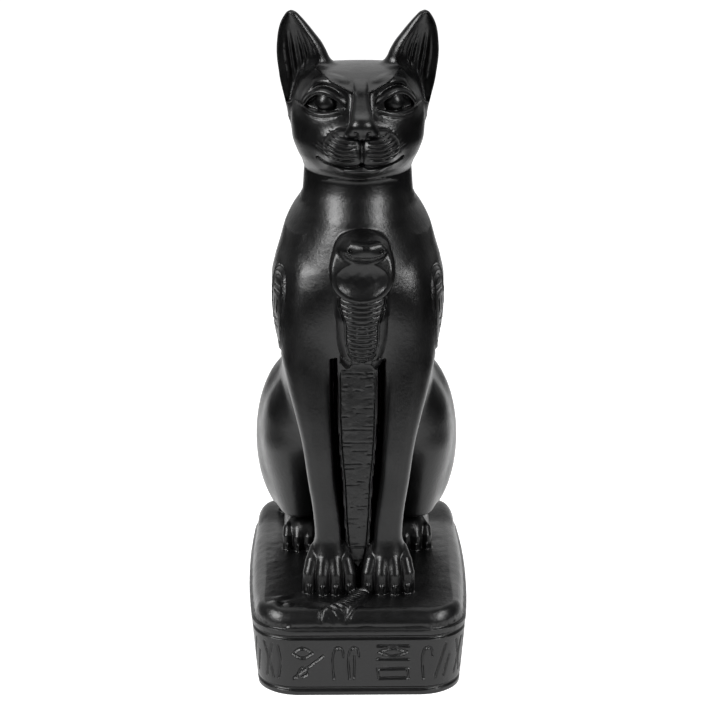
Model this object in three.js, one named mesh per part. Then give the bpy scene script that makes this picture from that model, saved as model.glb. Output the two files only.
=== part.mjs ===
// A seated cat goddess figure with a rearing cobra on its chest, cast in one piece with its cushion and
// plinth.
// Millimetres, +Z up. The origin is the centre of the plinth's underside, and the cat faces -Y.
import * as THREE from "three";

// Plinth: a rounded block with a foot strip, a lettered band, a rolled rim and a cushion with two raised back
// corners. Its long sides bulge, and are widest a little behind the middle.
const PLINTH_WIDTH = 93.9;
const PLINTH_LENGTH = 148;
const PLINTH_CORNER = 17;
const PLINTH_DRAFT = 2.4;
const PLINTH_RAKE = 0.6;
const PLINTH_BULGE = 4.4;
const PLINTH_WIDEST = 10;
const FOOT_HEIGHT = 3.2;
const BAND_HEIGHT = 25;
const RIM_HEIGHT = 4.6;
const RIM_PROUD = 0.3;
const CUSHION_INSET = 1.4;
const CUSHION_HEIGHT = 7.4;
const CUSHION_SLOPE = 3.4;
const CUSHION_FRONT_SLOPE = 7;
const CUSHION_SPREAD = 0.08;
const CUSHION_DISH = 0.6;
const CUSHION_HUMP = 3.4;
const GROOVE_RADIUS = 0.9;

// Figure: measured from the cushion to the ear tips. Its forms are given in modules, which are shares of this
// height.
const FIGURE_HEIGHT = 260.4;
const FIGURE_MODULES = 260.4;

// Mesh: the cell that the sculpted field is sampled at, and the number of triangles kept.
const CELL = 1.25;
const TRIANGLES = 9700;

const BAND_TOP = FOOT_HEIGHT + BAND_HEIGHT;
const RIM_TOP = BAND_TOP + RIM_HEIGHT;
const CUSHION_TOP = RIM_TOP + CUSHION_HEIGHT;
const SEAT = CUSHION_TOP - CUSHION_DISH;
const MODULE = FIGURE_HEIGHT / FIGURE_MODULES;

const { abs, min, max, sqrt, hypot, sin, cos, PI } = Math;
const clamp = THREE.MathUtils.clamp;
const share = (value) => clamp(value, 0, 1);

// Joins and cuts of fields, rounded over the width k.
function join(a, b, k) {
  const h = max(k - abs(a - b), 0) / k;
  return min(a, b) - (h * h * k) / 4;
}

function cut(a, b, k) {
  return -join(-a, b, k);
}

// A smooth hill of height 1 that ends at t = 1.
function bump(t) {
  return abs(t) < 1 ? (1 - t * t) ** 2 : 0;
}

// A smooth curve through stations [t, value, value, ...], which stays monotone between them.
function stations(rows) {
  const last = rows.length - 1;
  const columns = rows[0].length - 1;
  const slopes = rows.map((row, i) =>
    Array.from({ length: columns }, (_, c) => {
      if (i === 0 || i === last) return 0;
      const before = (row[c + 1] - rows[i - 1][c + 1]) / (row[0] - rows[i - 1][0]);
      const after = (rows[i + 1][c + 1] - row[c + 1]) / (rows[i + 1][0] - row[0]);
      return before * after <= 0 ? 0 : (2 * before * after) / (before + after);
    }),
  );
  const samples = 400;
  const start = rows[0][0];
  const span = rows[last][0] - start;
  const table = Array.from({ length: columns }, () => new Float64Array(samples + 1));
  for (let s = 0; s <= samples; s++) {
    const t = start + (span * s) / samples;
    let i = 0;
    while (i < last - 1 && rows[i + 1][0] < t) i++;
    const step = rows[i + 1][0] - rows[i][0];
    const u = clamp((t - rows[i][0]) / step, 0, 1);
    for (let c = 0; c < columns; c++) {
      const a = rows[i][c + 1];
      const b = rows[i + 1][c + 1];
      const sa = slopes[i][c] * step;
      const sb = slopes[i + 1][c] * step;
      table[c][s] =
        a + u * (sa + u * (3 * (b - a) - 2 * sa - sb + u * (2 * (a - b) + sa + sb)));
    }
  }
  return (t, column) => {
    const at = clamp(((t - start) / span) * samples, 0, samples - 1e-6);
    const i = at | 0;
    return table[column][i] + (table[column][i + 1] - table[column][i]) * (at - i);
  };
}

// Forms. Each returns a function of x, y, z that is about the distance to its surface.
function ellipsoid([cx, cy, cz], [rx, ry, rz], tilt = 0) {
  const c = cos(tilt);
  const s = sin(tilt);
  return (x, y, z) => {
    const dy = y - cy;
    const dz = z - cz;
    const px = (x - cx) / rx;
    const py = (c * dy + s * dz) / ry;
    const pz = (c * dz - s * dy) / rz;
    const k0 = hypot(px, py, pz);
    const k1 = hypot(px / rx, py / ry, pz / rz);
    return k1 < 1e-9 ? -min(rx, ry, rz) : (k0 * (k0 - 1)) / k1;
  };
}

// A tapered rod with round ends. flat squeezes it along Y.
function rod([ax, ay, az], [bx, by, bz], ra, rb, flat = 1) {
  const dx = bx - ax;
  const dy = (by - ay) / flat;
  const dz = bz - az;
  const length2 = dx * dx + dy * dy + dz * dz;
  return (x, y, z) => {
    const px = x - ax;
    const py = (y - ay) / flat;
    const pz = z - az;
    const t = clamp((px * dx + py * dy + pz * dz) / length2, 0, 1);
    return (hypot(px - dx * t, py - dy * t, pz - dz * t) - ra - (rb - ra) * t) * min(flat, 1);
  };
}

// Rods end to end along points, with a radius at each.
function limb(points, radii, flat = 1) {
  const rods = points
    .slice(1)
    .map((p, i) => rod(points[i], p, radii[i], radii[i + 1], flat));
  return (x, y, z) => {
    let d = Infinity;
    for (const piece of rods) d = min(d, piece(x, y, z));
    return d;
  };
}

// A body of rounded sections stacked up Z. Rows are [z, half width, front y, back y, power of the section].
function stack(rows) {
  const at = stations(rows);
  const low = rows[0][0];
  const high = rows[rows.length - 1][0];
  const slope = (z, column) => (at(z + 0.4, column) - at(z - 0.4, column)) / 0.8;
  return (x, y, z) => {
    const a = at(z, 0);
    const front = at(z, 1);
    const back = at(z, 2);
    const power = at(z, 3);
    const b = (back - front) / 2;
    const dy = y - (front + back) / 2;
    const px = abs(x) / a;
    const py = abs(dy) / b;
    const k = (px ** power + py ** power) ** (1 / power) + 1e-9;
    const gx = (px / k) ** (power - 1) / a;
    const gy = (py / k) ** (power - 1) / b;
    const lean = (gx * slope(z, 0)) ** 2 + (gy * slope(z, dy < 0 ? 1 : 2)) ** 2;
    const side = (k - 1) / (sqrt(gx * gx + gy * gy + lean) + 1e-6);
    return max(side, low - z, z - high);
  };
}

// How far a point of a plane is from a line through some of its points.
function lineGap(u, v, line) {
  let nearest = Infinity;
  for (let i = 0; i < line.length - 1; i++) {
    const [au, av] = line[i];
    const du = line[i + 1][0] - au;
    const dv = line[i + 1][1] - av;
    const t = share(((u - au) * du + (v - av) * dv) / (du * du + dv * dv));
    nearest = min(nearest, hypot(u - au - du * t, v - av - dv * t));
  }
  return nearest;
}

// A ridge along a line: its height at a point of the plane, for a height and half width at the crest.
function ridge(u, v, line, height, wide) {
  return height * bump(lineGap(u, v, line) / wide);
}

const mirrored = (form) => (x, y, z) => form(abs(x), y, z);

// The figure, in modules from the seat.
const BODY = [
  [-2, 24, 22, 59, 2.15],
  [10, 27, 17, 63, 2.15],
  [28, 31, 4, 65.5, 2.15],
  [48, 34, -10, 64.5, 2.15],
  [68, 35.2, -22, 59.5, 2.15],
  [86, 34.8, -31, 53, 2.4],
  [98, 34.9, -37.5, 48, 2.8],
  [108, 35.8, -42, 44, 3],
  [120, 37.9, -47, 39, 2.9],
  [132, 38.9, -50, 33.5, 2.5],
  [140, 38.8, -50.8, 30, 2.25],
  [148, 37.3, -50, 26, 2.15],
  [156, 35, -47.4, 22.5, 2.15],
  [164, 32.7, -42, 18.5, 2.15],
  [171, 29.4, -33, 14, 2.15],
  [177, 24.4, -22, 9, 2.15],
  [182, 13, -12, 3, 2.15],
];
const NECK = [
  [138, 19, -45, 2, 2.05],
  [150, 23.6, -48, 8, 2.05],
  [160, 25.8, -48, 10, 2.05],
  [170, 25.6, -46, 9.5, 2],
  [176, 25, -43.4, 9, 1.95],
  [182, 24.4, -41, 8.5, 1.95],
  [188, 24, -40, 8, 2],
  [204, 23, -39, 8, 2.05],
];

function torso() {
  const body = stack(BODY);
  const neck = stack(NECK);
  return (x, y, z) => join(body(x, y, z), neck(x, y, z), 5);
}

const SKULL = [
  [190, 17.6, -42, 0, 2.1],
  [194, 23.4, -44.5, 4, 2.1],
  [199, 26.8, -46, 7, 2.1],
  [206, 29, -47, 9.5, 2.2],
  [214, 29.4, -46.6, 11, 2.35],
  [222, 28.3, -45.4, 11.5, 2.25],
  [229, 26.2, -43.8, 9, 2.1],
  [236, 23.5, -41, 5.5, 2.1],
  [246, 20.5, -38, 2, 2.1],
];
// The bridge of the nose from its tip to the brow: [z, half width, front y].
const NOSE = [
  [211, 2.6, -56],
  [215, 4.6, -58],
  [218.5, 4.6, -58],
  [222.5, 4, -53.6],
  [227, 3.5, -48.6],
  [229.5, 3.5, -46.2],
  [232, 3.8, -42],
  [235, 4.5, -35],
];
const NOSE_ROUND = 3;
const SOCKET_PLACE = 12.6;
const SOCKET_HALF = 10.4;
const HEAD_TURN = 0.035;
const HEAD_AXIS = -18;
const EYE_PLACE = [15, -37.8, 223.4];
const EYE_OUT = PI / 6;
const MOUTH = [[0, 197.9], [3.4, 197.6], [9.7, 197.3], [14.2, 197.8], [18.2, 199.4]];

// An almond opening with a ball in it, in the eye's own axes: across it, out of it and up it.
function eye() {
  const c = cos(EYE_OUT);
  const s = sin(EYE_OUT);
  const lids = ellipsoid([0, -2.4, -0.9], [11.8, 7.1, 8.6]);
  const dome = ellipsoid([-1.5, -2.2, 8], [8.6, 3.7, 3.2]);
  const ball = ellipsoid([-0.6, -1.7, 0], [5.3, 6.1, 5.4]);
  return (x, y, z, d) => {
    const dx = x - EYE_PLACE[0];
    const dy = y - EYE_PLACE[1];
    const across = c * dx + s * dy;
    const out = s * dx - c * dy;
    const up = z - EYE_PLACE[2];
    const upper = 3.5 - (across < 0 ? 0.052 : 0.07) * across * across;
    const lower = 0.019 * across * across - 4;
    const opening = max((up - upper) * 0.85, (lower - up) * 0.85, 0.2 - out);
    const crease = 6.9 - (across < 0 ? 0.05 : 0.066) * across * across;
    const front = share((out + 2) / 2) * bump(across / 12.5);
    d = join(d, lids(across, out, up), 1.6);
    d = join(d, dome(across, out, up), 1.5);
    d = cut(d, opening, 0.5);
    d = join(d, ball(across, out, up), 0.3);
    return d + front * (bump((up - crease) / 1.3) - 0.8 * bump((up - (upper + crease) / 2) / 1.8));
  };
}

function head() {
  const skull = stack(SKULL);
  const nose = stations(NOSE);
  const eyes = eye();
  const muzzle = ellipsoid([0, -43, 203.4], [17.5, 13, 9.6]);
  const chin = ellipsoid([0, -45.4, 195.6], [9.5, 8, 3.6]);
  const hollow = ellipsoid([0, -51.2, 226], [SOCKET_HALF, 9.4, 5.9], 0.1);
  // The eye socket's floor is flat across and turns up steeply towards the nose and the temple.
  const socket = (x, y, z) => {
    const across = x - SOCKET_PLACE;
    return 0.75 * hollow((across * abs(across)) / SOCKET_HALF, y, z);
  };
  const tip = ellipsoid([0, -56.4, 216], [5.7, 4.2, 4.1]);
  const nostril = ellipsoid([4.2, -54.9, 213.8], [2.7, 3.2, 2.9]);
  const pad = ellipsoid([7.6, -50.2, 206], [9, 7.4, 7.6]);
  // A step along the brow: the forehead stands proud of the eye socket.
  const brow = (x, y, z) => {
    const rise = z - 228 - (x - 3.4) * 0.42 - 0.008 * (x - 3.4) ** 2;
    const step = share(rise / 1.5 + 0.5);
    const fall = 0.6 * share(1 - rise / 4) ** 2 + 0.4 * share(1 - rise / 10) ** 2;
    return 3.4 * step * fall * share((x - 1.6) / 2) * share((26 - x) / 12) * share((-18 - y) / 14);
  };
  const bridge = (x, y, z) => {
    const nx = x - nose(z, 0) + NOSE_ROUND;
    const ny = nose(z, 1) + NOSE_ROUND - y;
    const side = hypot(max(nx, 0), max(ny, 0)) + min(max(nx, ny), 0) - NOSE_ROUND;
    return max(side * 0.75, NOSE[0][0] - z, z - 233, y + 34);
  };
  const c = cos(HEAD_TURN);
  const s = sin(HEAD_TURN);
  return (wx, wy, z) => {
    const x = abs(c * wx + s * (wy - HEAD_AXIS));
    const y = c * (wy - HEAD_AXIS) - s * wx + HEAD_AXIS;
    const crown = 236.9 - 0.0022 * x * x - (y < -16 ? 0.006 : 0.011) * (y + 16) ** 2;
    let d = cut(skull(x, y, z), (crown - z) * 0.95, 7);
    d = join(d, muzzle(x, y, z), 5);
    d = join(d, chin(x, y, z), 3);
    d = cut(d, socket(x, y, z), 1.8);
    d = eyes(x, y, z, d - brow(x, y, z));
    d = join(d, bridge(x, y, z), 0.8);
    d = join(d, tip(x, y, z), 1.4);
    d = join(d, nostril(x, y, z), 1);
    d = join(d, pad(x, y, z), 1.6);
    if (y > HEAD_AXIS) return d;
    const lip = bump(x / 1.6) * share((211 - z) / 1.5) * share(z - 197.5);
    return d + 1.2 * lip + ridge(x, z, MOUTH, 1.3, 1.5);
  };
}

// Ear stations: [z, centre x, half width, centre y, half depth].
const EAR = [
  [212, 20, 10.8, -11, 8],
  [220, 21, 11.8, -12.5, 8.5],
  [229, 22.4, 12.4, -14.5, 8.6],
  [236, 23.4, 12.4, -16, 8],
  [241, 24.3, 11.8, -17.2, 7.4],
  [246, 25.4, 10.4, -18.4, 6.4],
  [251, 26.9, 8.1, -19.8, 5.2],
  [255, 27.9, 5.8, -21, 3.9],
  [258.2, 28.5, 3.4, -22, 2.6],
  [259.6, 28.7, 2.1, -22.3, 1.7],
  [260.2, 28.8, 1, -22.4, 0.9],
  [260.4, 28.8, 0.2, -22.4, 0.2],
];
const EAR_TURN = 0.42;
const EAR_RIM = 2.1;

function ear() {
  const at = stations(EAR);
  const foot = EAR[0][0];
  const point = EAR[EAR.length - 1][0];
  const c = cos(EAR_TURN);
  const s = sin(EAR_TURN);
  const oval = (u, w, a, b) => {
    const k0 = hypot(u / a, w / b) + 1e-9;
    return (k0 * (k0 - 1)) / (hypot(u / (a * a), w / (b * b)) + 1e-9);
  };
  return (x, y, z) => {
    const dx = abs(x) - at(z, 0);
    const dy = y - at(z, 2);
    const u = c * dx + s * dy;
    const w = c * dy - s * dx;
    const wide = at(z, 1);
    const deep = at(z, 3);
    const shell = max(oval(u, w, wide, deep), z - point, foot - z);
    const room = share((point - 1.4 - z) / 5);
    if (room === 0) return shell;
    const cup = oval(u - 0.5, w + deep * (1.2 - 0.4 * room), max(wide - EAR_RIM, 0.5), deep * 1.15);
    return cut(shell, max(cup, foot + 6 - z), 0.6);
  };
}

// The foreleg: [z, centre x, half width, front y, back y].
const FORELEG = [
  [2, 13.4, 6.4, -48, -33],
  [16, 13.4, 6.4, -47.8, -33],
  [27, 13.6, 6.2, -47.4, -33],
  [38, 14.6, 6.1, -47.2, -33],
  [52, 16.6, 6.3, -47.2, -32],
  [68, 18.2, 7, -47.6, -30],
  [80, 19.8, 8, -47.6, -28],
  [95, 21.8, 9.7, -47.2, -25],
  [108, 22.8, 11, -46.4, -22],
  [120, 23.2, 10.6, -44.8, -18],
  [134, 22.8, 9.4, -43.6, -14],
  [147, 22, 7.8, -40, -10],
  [158, 21, 5, -29, -8],
];
const forelegAt = stations(FORELEG);

function foreleg() {
  const paw = ellipsoid([13.4, -40.9, 6], [11.2, 10, 18]);
  return (x, y, z) => {
    const half = forelegAt(z, 1);
    const front = forelegAt(z, 2);
    const back = forelegAt(z, 3);
    const deep = (back - front) / 2;
    const px = abs(x - forelegAt(z, 0)) / half;
    const py = abs(y - (front + back) / 2) / deep;
    const inner = abs(x) < forelegAt(z, 0) ? 1.4 : 0;
    const power = 2.7 - 0.7 * share((z - 80) / 30) + inner;
    const k = (px ** power + py ** power) ** (1 / power) + 1e-9;
    const slope = hypot((px / k) ** (power - 1) / half, (py / k) ** (power - 1) / deep) + 1e-6;
    const upper = max((k - 1) / slope, FORELEG[0][0] - z, z - FORELEG[FORELEG.length - 1][0]);
    return join(upper, paw(x, y, z), 3.6);
  };
}

// Four toes in a fan, each a rod over the foot that ends in a knuckle at the front.
function toes(centre, spread, path, radius) {
  const forms = [-1.5, -0.5, 0.5, 1.5].map((place) => {
    const drop = place * place * 0.45;
    return limb(
      path.map(([out, y, z]) => [centre + place * spread * out, y + drop * 2 * out, z - drop * (1 - out)]),
      path.map((_, i) => radius * (i === 0 ? 0.8 : 1)),
    );
  });
  return (x, y, z) => {
    let d = Infinity;
    for (const toe of forms) d = min(d, toe(x, y, z));
    return d;
  };
}

const FRONT_TOES = [[0.6, -45, 20.2], [0.82, -48.2, 15], [0.98, -50, 9], [1, -50, 2.4]];
const HIND_TOES = [[0.75, 11, 11], [0.96, 6, 9.4], [1, 3.6, 6.4], [1, 3.4, 1.8]];

function haunch() {
  const thigh = ellipsoid([25.8, 33, 48], [22.3, 33, 43.5], 0.12);
  const knee = ellipsoid([30.6, 9.5, 61], [11.8, 14, 23], 0.15);
  const shank = rod([31, 9, 52], [26.6, 13, 20], 9.6, 9.4, 1.2);
  const foot = limb([[25.2, 11.5, 6], [26, 28, 6.5], [26.5, 50, 7]], [9.4, 9, 8]);
  return (x, y, z) => {
    let d = join(thigh(x, y, z), knee(x, y, z), 9);
    d = join(d, shank(x, y, z), 6);
    d = cut(d, z - 16.8 + max(y - 24, 0) * 0.5, 0.8);
    return join(d, foot(x, y, z), 0.8);
  };
}

function tail() {
  return limb(
    [[-2, 62, 12], [-12, 65, 6], [-22, 63.6, 4.6], [-30, 58.6, 4.4], [-34, 51.4, 4.2]],
    [5.4, 5.2, 4.8, 4.4, 4],
  );
}

// The web of stone behind the forelegs, the flat panel in front of it, and the narrow gap on either side of
// that panel.
const WEB = [[0, 13.5], [40, 15], [80, 19], [120, 24]];
const WEB_FRONT = -36;
const FLANGE_FRONT = -43.5;
const FLANGE_START = 10.5;
const PANEL = [[5, 0.6], [14, 4.6], [28, 6], [51, 7.1], [62, 8.1], [74, 8.8], [90, 9.1], [112, 9.2]];
const PANEL_SHIFT = -0.4;
const SLIT_TOP = 109.5;
const SLIT_FOOT = 22;
const SLIT_BACK = -16;
const SLIT_WIDEST = 12.3;
const panelAt = stations(PANEL);

// A flange runs from the web along the inner side of each foreleg.
function web() {
  const half = stations(WEB);
  return (x, y, z) => {
    const flange = abs(x - PANEL_SHIFT) > min(FLANGE_START, panelAt(z, 0) + 0.8) && z > SLIT_FOOT;
    return max(abs(x) - half(z, 0), (flange ? FLANGE_FRONT : WEB_FRONT) - y, y - 20, z - 116, -2 - z);
  };
}

function panel(x, y, z) {
  return max(abs(x - PANEL_SHIFT) - panelAt(z, 0), -41 - y, y + 26, z - 112, 4 - z);
}

function slit(x, y, z) {
  const inner = panelAt(z, 0);
  const outer = min(forelegAt(z, 0) - forelegAt(z, 1) + 0.4, SLIT_WIDEST);
  const half = ((outer - inner) / 2) * share((SLIT_BACK - y) / 25);
  const side = abs(abs(x - PANEL_SHIFT) - (inner + outer) / 2) - half;
  return max(side, y - SLIT_BACK, z - SLIT_TOP, SLIT_FOOT - z);
}

const COBRA_SHIFT = 1.4;
const SNOUT_SHIFT = 1.6;
const HOOD_MIDDLE = 150.4;

function cobra() {
  const spine = [[0, -38.5, 113], [0, -42, 122], [0, -44, 131], [0, -43.5, 150]];
  const body = limb(spine, [11.8, 12.6, 13.1, 13.1], 0.9);
  const crown = ellipsoid([0, -48.6, 161.4], [11.2, 9.8, 7.5]);
  const bowl = ellipsoid([0, -72, 148.6], [23.4, 19, 15.4]);
  const snout = ellipsoid([0, -54.4, 161], [8.4, 5.4, 4.2]);
  const browBone = rod([1, -57.6, 162.6], [5.6, -56, 163.4], 2.6, 2.2);
  const eyeball = ellipsoid([6.8, -55, 161.8], [2.5, 2.8, 2.4]);
  return (wx, y, z) => {
    const x = wx - COBRA_SHIFT;
    let d = cut(body(x, y, z), z - 107.6 + 3.6 * bump((abs(x) - 6.4) / 3.2), 0.8);
    const upper = z > HOOD_MIDDLE;
    const power = upper ? 2 : 2.3;
    const tall = upper ? 18.6 : 12.5;
    const round = ((abs(x) / 13.7) ** power + (abs(z - HOOD_MIDDLE) / tall) ** power) ** (1 / power);
    const face = y + 56.4 - 0.008 * x * x - 0.032 * max(z - 149, 0) ** 2;
    d = join(d, max(cut((round - 1) * 12.8, face, 1.4), y + 38), 0.8);
    d = join(d, crown(x, y, z), 2.4);
    d = cut(d, bowl(x, y, z), 0.5);
    const half = abs(x - SNOUT_SHIFT);
    d = join(d, snout(x - SNOUT_SHIFT, y, z), 2.2);
    d = join(d, browBone(half, y, z), 1);
    return join(d, eyeball(half, y, z), 1);
  };
}

// The raised oval frames on the shoulders, as a height above the body.
const FRAME_PLACE = [-29.5, 128.6];
const FRAME_HALF = [9.4, 18.8];

function frames(x, y, z) {
  if (abs(x) < 25) return 0;
  const [u, v] = [(y - FRAME_PLACE[0]) / FRAME_HALF[0], (z - FRAME_PLACE[1]) / FRAME_HALF[1]];
  const r = (abs(u) ** 2.5 + abs(v) ** 2.5) ** (1 / 2.5);
  return 0.7 * bump((r - 0.92) / 0.13);
}

function figure() {
  const forms = [
    [torso(), 1],
    [mirrored(haunch()), 6],
    [mirrored(foreleg()), 9],
    [web(), 2],
    [panel, 0.8],
    [slit, -0.6],
    [mirrored(toes(13.3, 6, FRONT_TOES, 3.2)), 0.7],
    [mirrored(toes(25.2, 5.1, HIND_TOES, 2.6)), 0.7],
    [head(), 4],
    [ear(), 4.5],
    [cobra(), 1],
    [tail(), 1.5],
  ];
  // A blend below zero cuts its form out.
  return (x, y, z) => {
    let d = Infinity;
    for (const [form, blend] of forms) {
      const found = form(x, y, z);
      if (d === Infinity) d = found;
      else d = blend < 0 ? cut(d, found, -blend) : join(d, found, blend);
    }
    return d - frames(x, y, z);
  };
}

// Distance in plan to the plinth's rounded outline, inset from it by side on the long sides and by end on the
// others.
function plan(x, y, side, end) {
  const along = (y - PLINTH_WIDEST) / (PLINTH_LENGTH / 2 + PLINTH_WIDEST);
  const half = PLINTH_WIDTH / 2 + PLINTH_BULGE * (1 - along * along);
  const dx = abs(x) - half + side + PLINTH_CORNER;
  const dy = abs(y) - PLINTH_LENGTH / 2 + end + PLINTH_CORNER;
  return hypot(max(dx, 0), max(dy, 0)) + min(max(dx, dy), 0) - PLINTH_CORNER;
}

// The cushion's relief: the cobra's tail that lies over its front, and its two raised back corners.
const TAIL_PATH = [[1.5, -48], [-0.6, -55], [-4.2, -62], [-8.8, -67.6], [-12, -71]];
const TAIL_LINE = TAIL_PATH.map(([x, y]) => [x * MODULE, y * MODULE]);
const TAIL_HALF = 4.7;
const TAIL_PROUD = 2;
const HUMP_PLACE = [PLINTH_WIDTH / 2 - 5, PLINTH_LENGTH / 2 - PLINTH_CORNER];
const HUMP_HALF = [16, 19];

function cushionRelief(x, y) {
  const gap = lineGap(x, y, TAIL_LINE);
  const hump = hypot((abs(x) - HUMP_PLACE[0]) / HUMP_HALF[0], (y - HUMP_PLACE[1]) / HUMP_HALF[1]);
  const fade = share((y + PLINTH_LENGTH / 2 - 1) / 3);
  return TAIL_PROUD * fade * sqrt(share(1 - (gap / TAIL_HALF) ** 2)) + CUSHION_HUMP * bump(hump);
}

function plinth() {
  const roll = RIM_HEIGHT / 2;
  return (x, y, z) => {
    const lean = 1 - z / BAND_TOP;
    const wall = plan(x, y, PLINTH_DRAFT * lean + RIM_PROUD, PLINTH_RAKE * lean + RIM_PROUD);
    const block = max(wall, -z, z - RIM_TOP + 1);
    const rim = hypot(max(plan(x, y, roll, roll), 0), z - BAND_TOP - roll) - roll;
    const inner = plan(x, y, 0, 0) + CUSHION_INSET;
    const spread = CUSHION_SPREAD * clamp(y + PLINTH_LENGTH / 2 - 4, 0, 40);
    const ahead = share((PLINTH_CORNER - 2 - y - PLINTH_LENGTH / 2) / 12);
    const front = ahead * share((PLINTH_WIDTH / 2 - 2 - abs(x)) / 12);
    const slope = CUSHION_SLOPE + spread + (CUSHION_FRONT_SLOPE - CUSHION_SLOPE) * front;
    const rise = share(-inner / slope);
    const dish = CUSHION_DISH * share((-inner - slope) / 14);
    const top = RIM_TOP + CUSHION_HEIGHT * sin((rise * PI) / 2) ** 0.5 - dish + cushionRelief(x, y);
    const cushion = max((z - top) * 0.75, inner, BAND_TOP + roll - z);
    let d = join(join(block, rim, 0.4), cushion, 0.3);
    for (const level of [FOOT_HEIGHT, BAND_TOP]) {
      const low = 1 - level / BAND_TOP;
      const line = plan(x, y, PLINTH_DRAFT * low + RIM_PROUD, PLINTH_RAKE * low + RIM_PROUD);
      d = cut(d, hypot(line, z - level) - GROOVE_RADIUS, 0.4);
    }
    return d;
  };
}

function statue() {
  const base = plinth();
  const cat = figure();
  return (x, y, z) => join(base(x, y, z), MODULE * cat(x / MODULE, y / MODULE, (z - SEAT) / MODULE), 1);
}

// The loops that a surface makes through a cell with these corners inside, as lists of the cell's edges.
// Corner c is at (c & 1, c >> 1 & 1, c >> 2). Edge 4 * axis + n runs along the axis from its nth low corner.
const AXES = [..."xyz"].map((_, axis) => axis);
const CORNERS = [...Array(1 << AXES.length).keys()];
const LOW = AXES.map((axis) => CORNERS.filter((c) => !((c >> axis) & 1)));
const edgeFrom = (a, b) => {
  const axis = Math.log2(a ^ b);
  return 4 * axis + LOW[axis].indexOf(min(a, b));
};
// The corners around each side of a cell, in turn.
const SIDES = AXES.flatMap((axis) => {
  const b = 1 << (axis + 1) % 3;
  const c = 1 << (axis + 2) % 3;
  const near = [0, b, b | c, c];
  return [near, near.map((bits) => bits | (1 << axis))];
});

function loops(config) {
  const inside = (c) => (config >> c) & 1;
  const links = Array.from({ length: 12 }, () => []);
  const link = (a, b) => {
    links[a].push(b);
    links[b].push(a);
  };
  for (const side of SIDES) {
    const crossed = side.map((c, i) => [c, side[(i + 1) % 4]]).filter(([a, b]) => inside(a) !== inside(b));
    if (crossed.length) link(edgeFrom(...crossed[0]), edgeFrom(...crossed[1]));
  }
  const seen = new Set();
  const found = [];
  for (let e = 0; e < 12; e++) {
    if (seen.has(e) || !links[e].length) continue;
    const loop = [];
    let next = e;
    while (next !== undefined) {
      seen.add(next);
      loop.push(next);
      next = links[next].find((n) => !seen.has(n));
    }
    found.push(loop);
  }
  return found;
}

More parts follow.
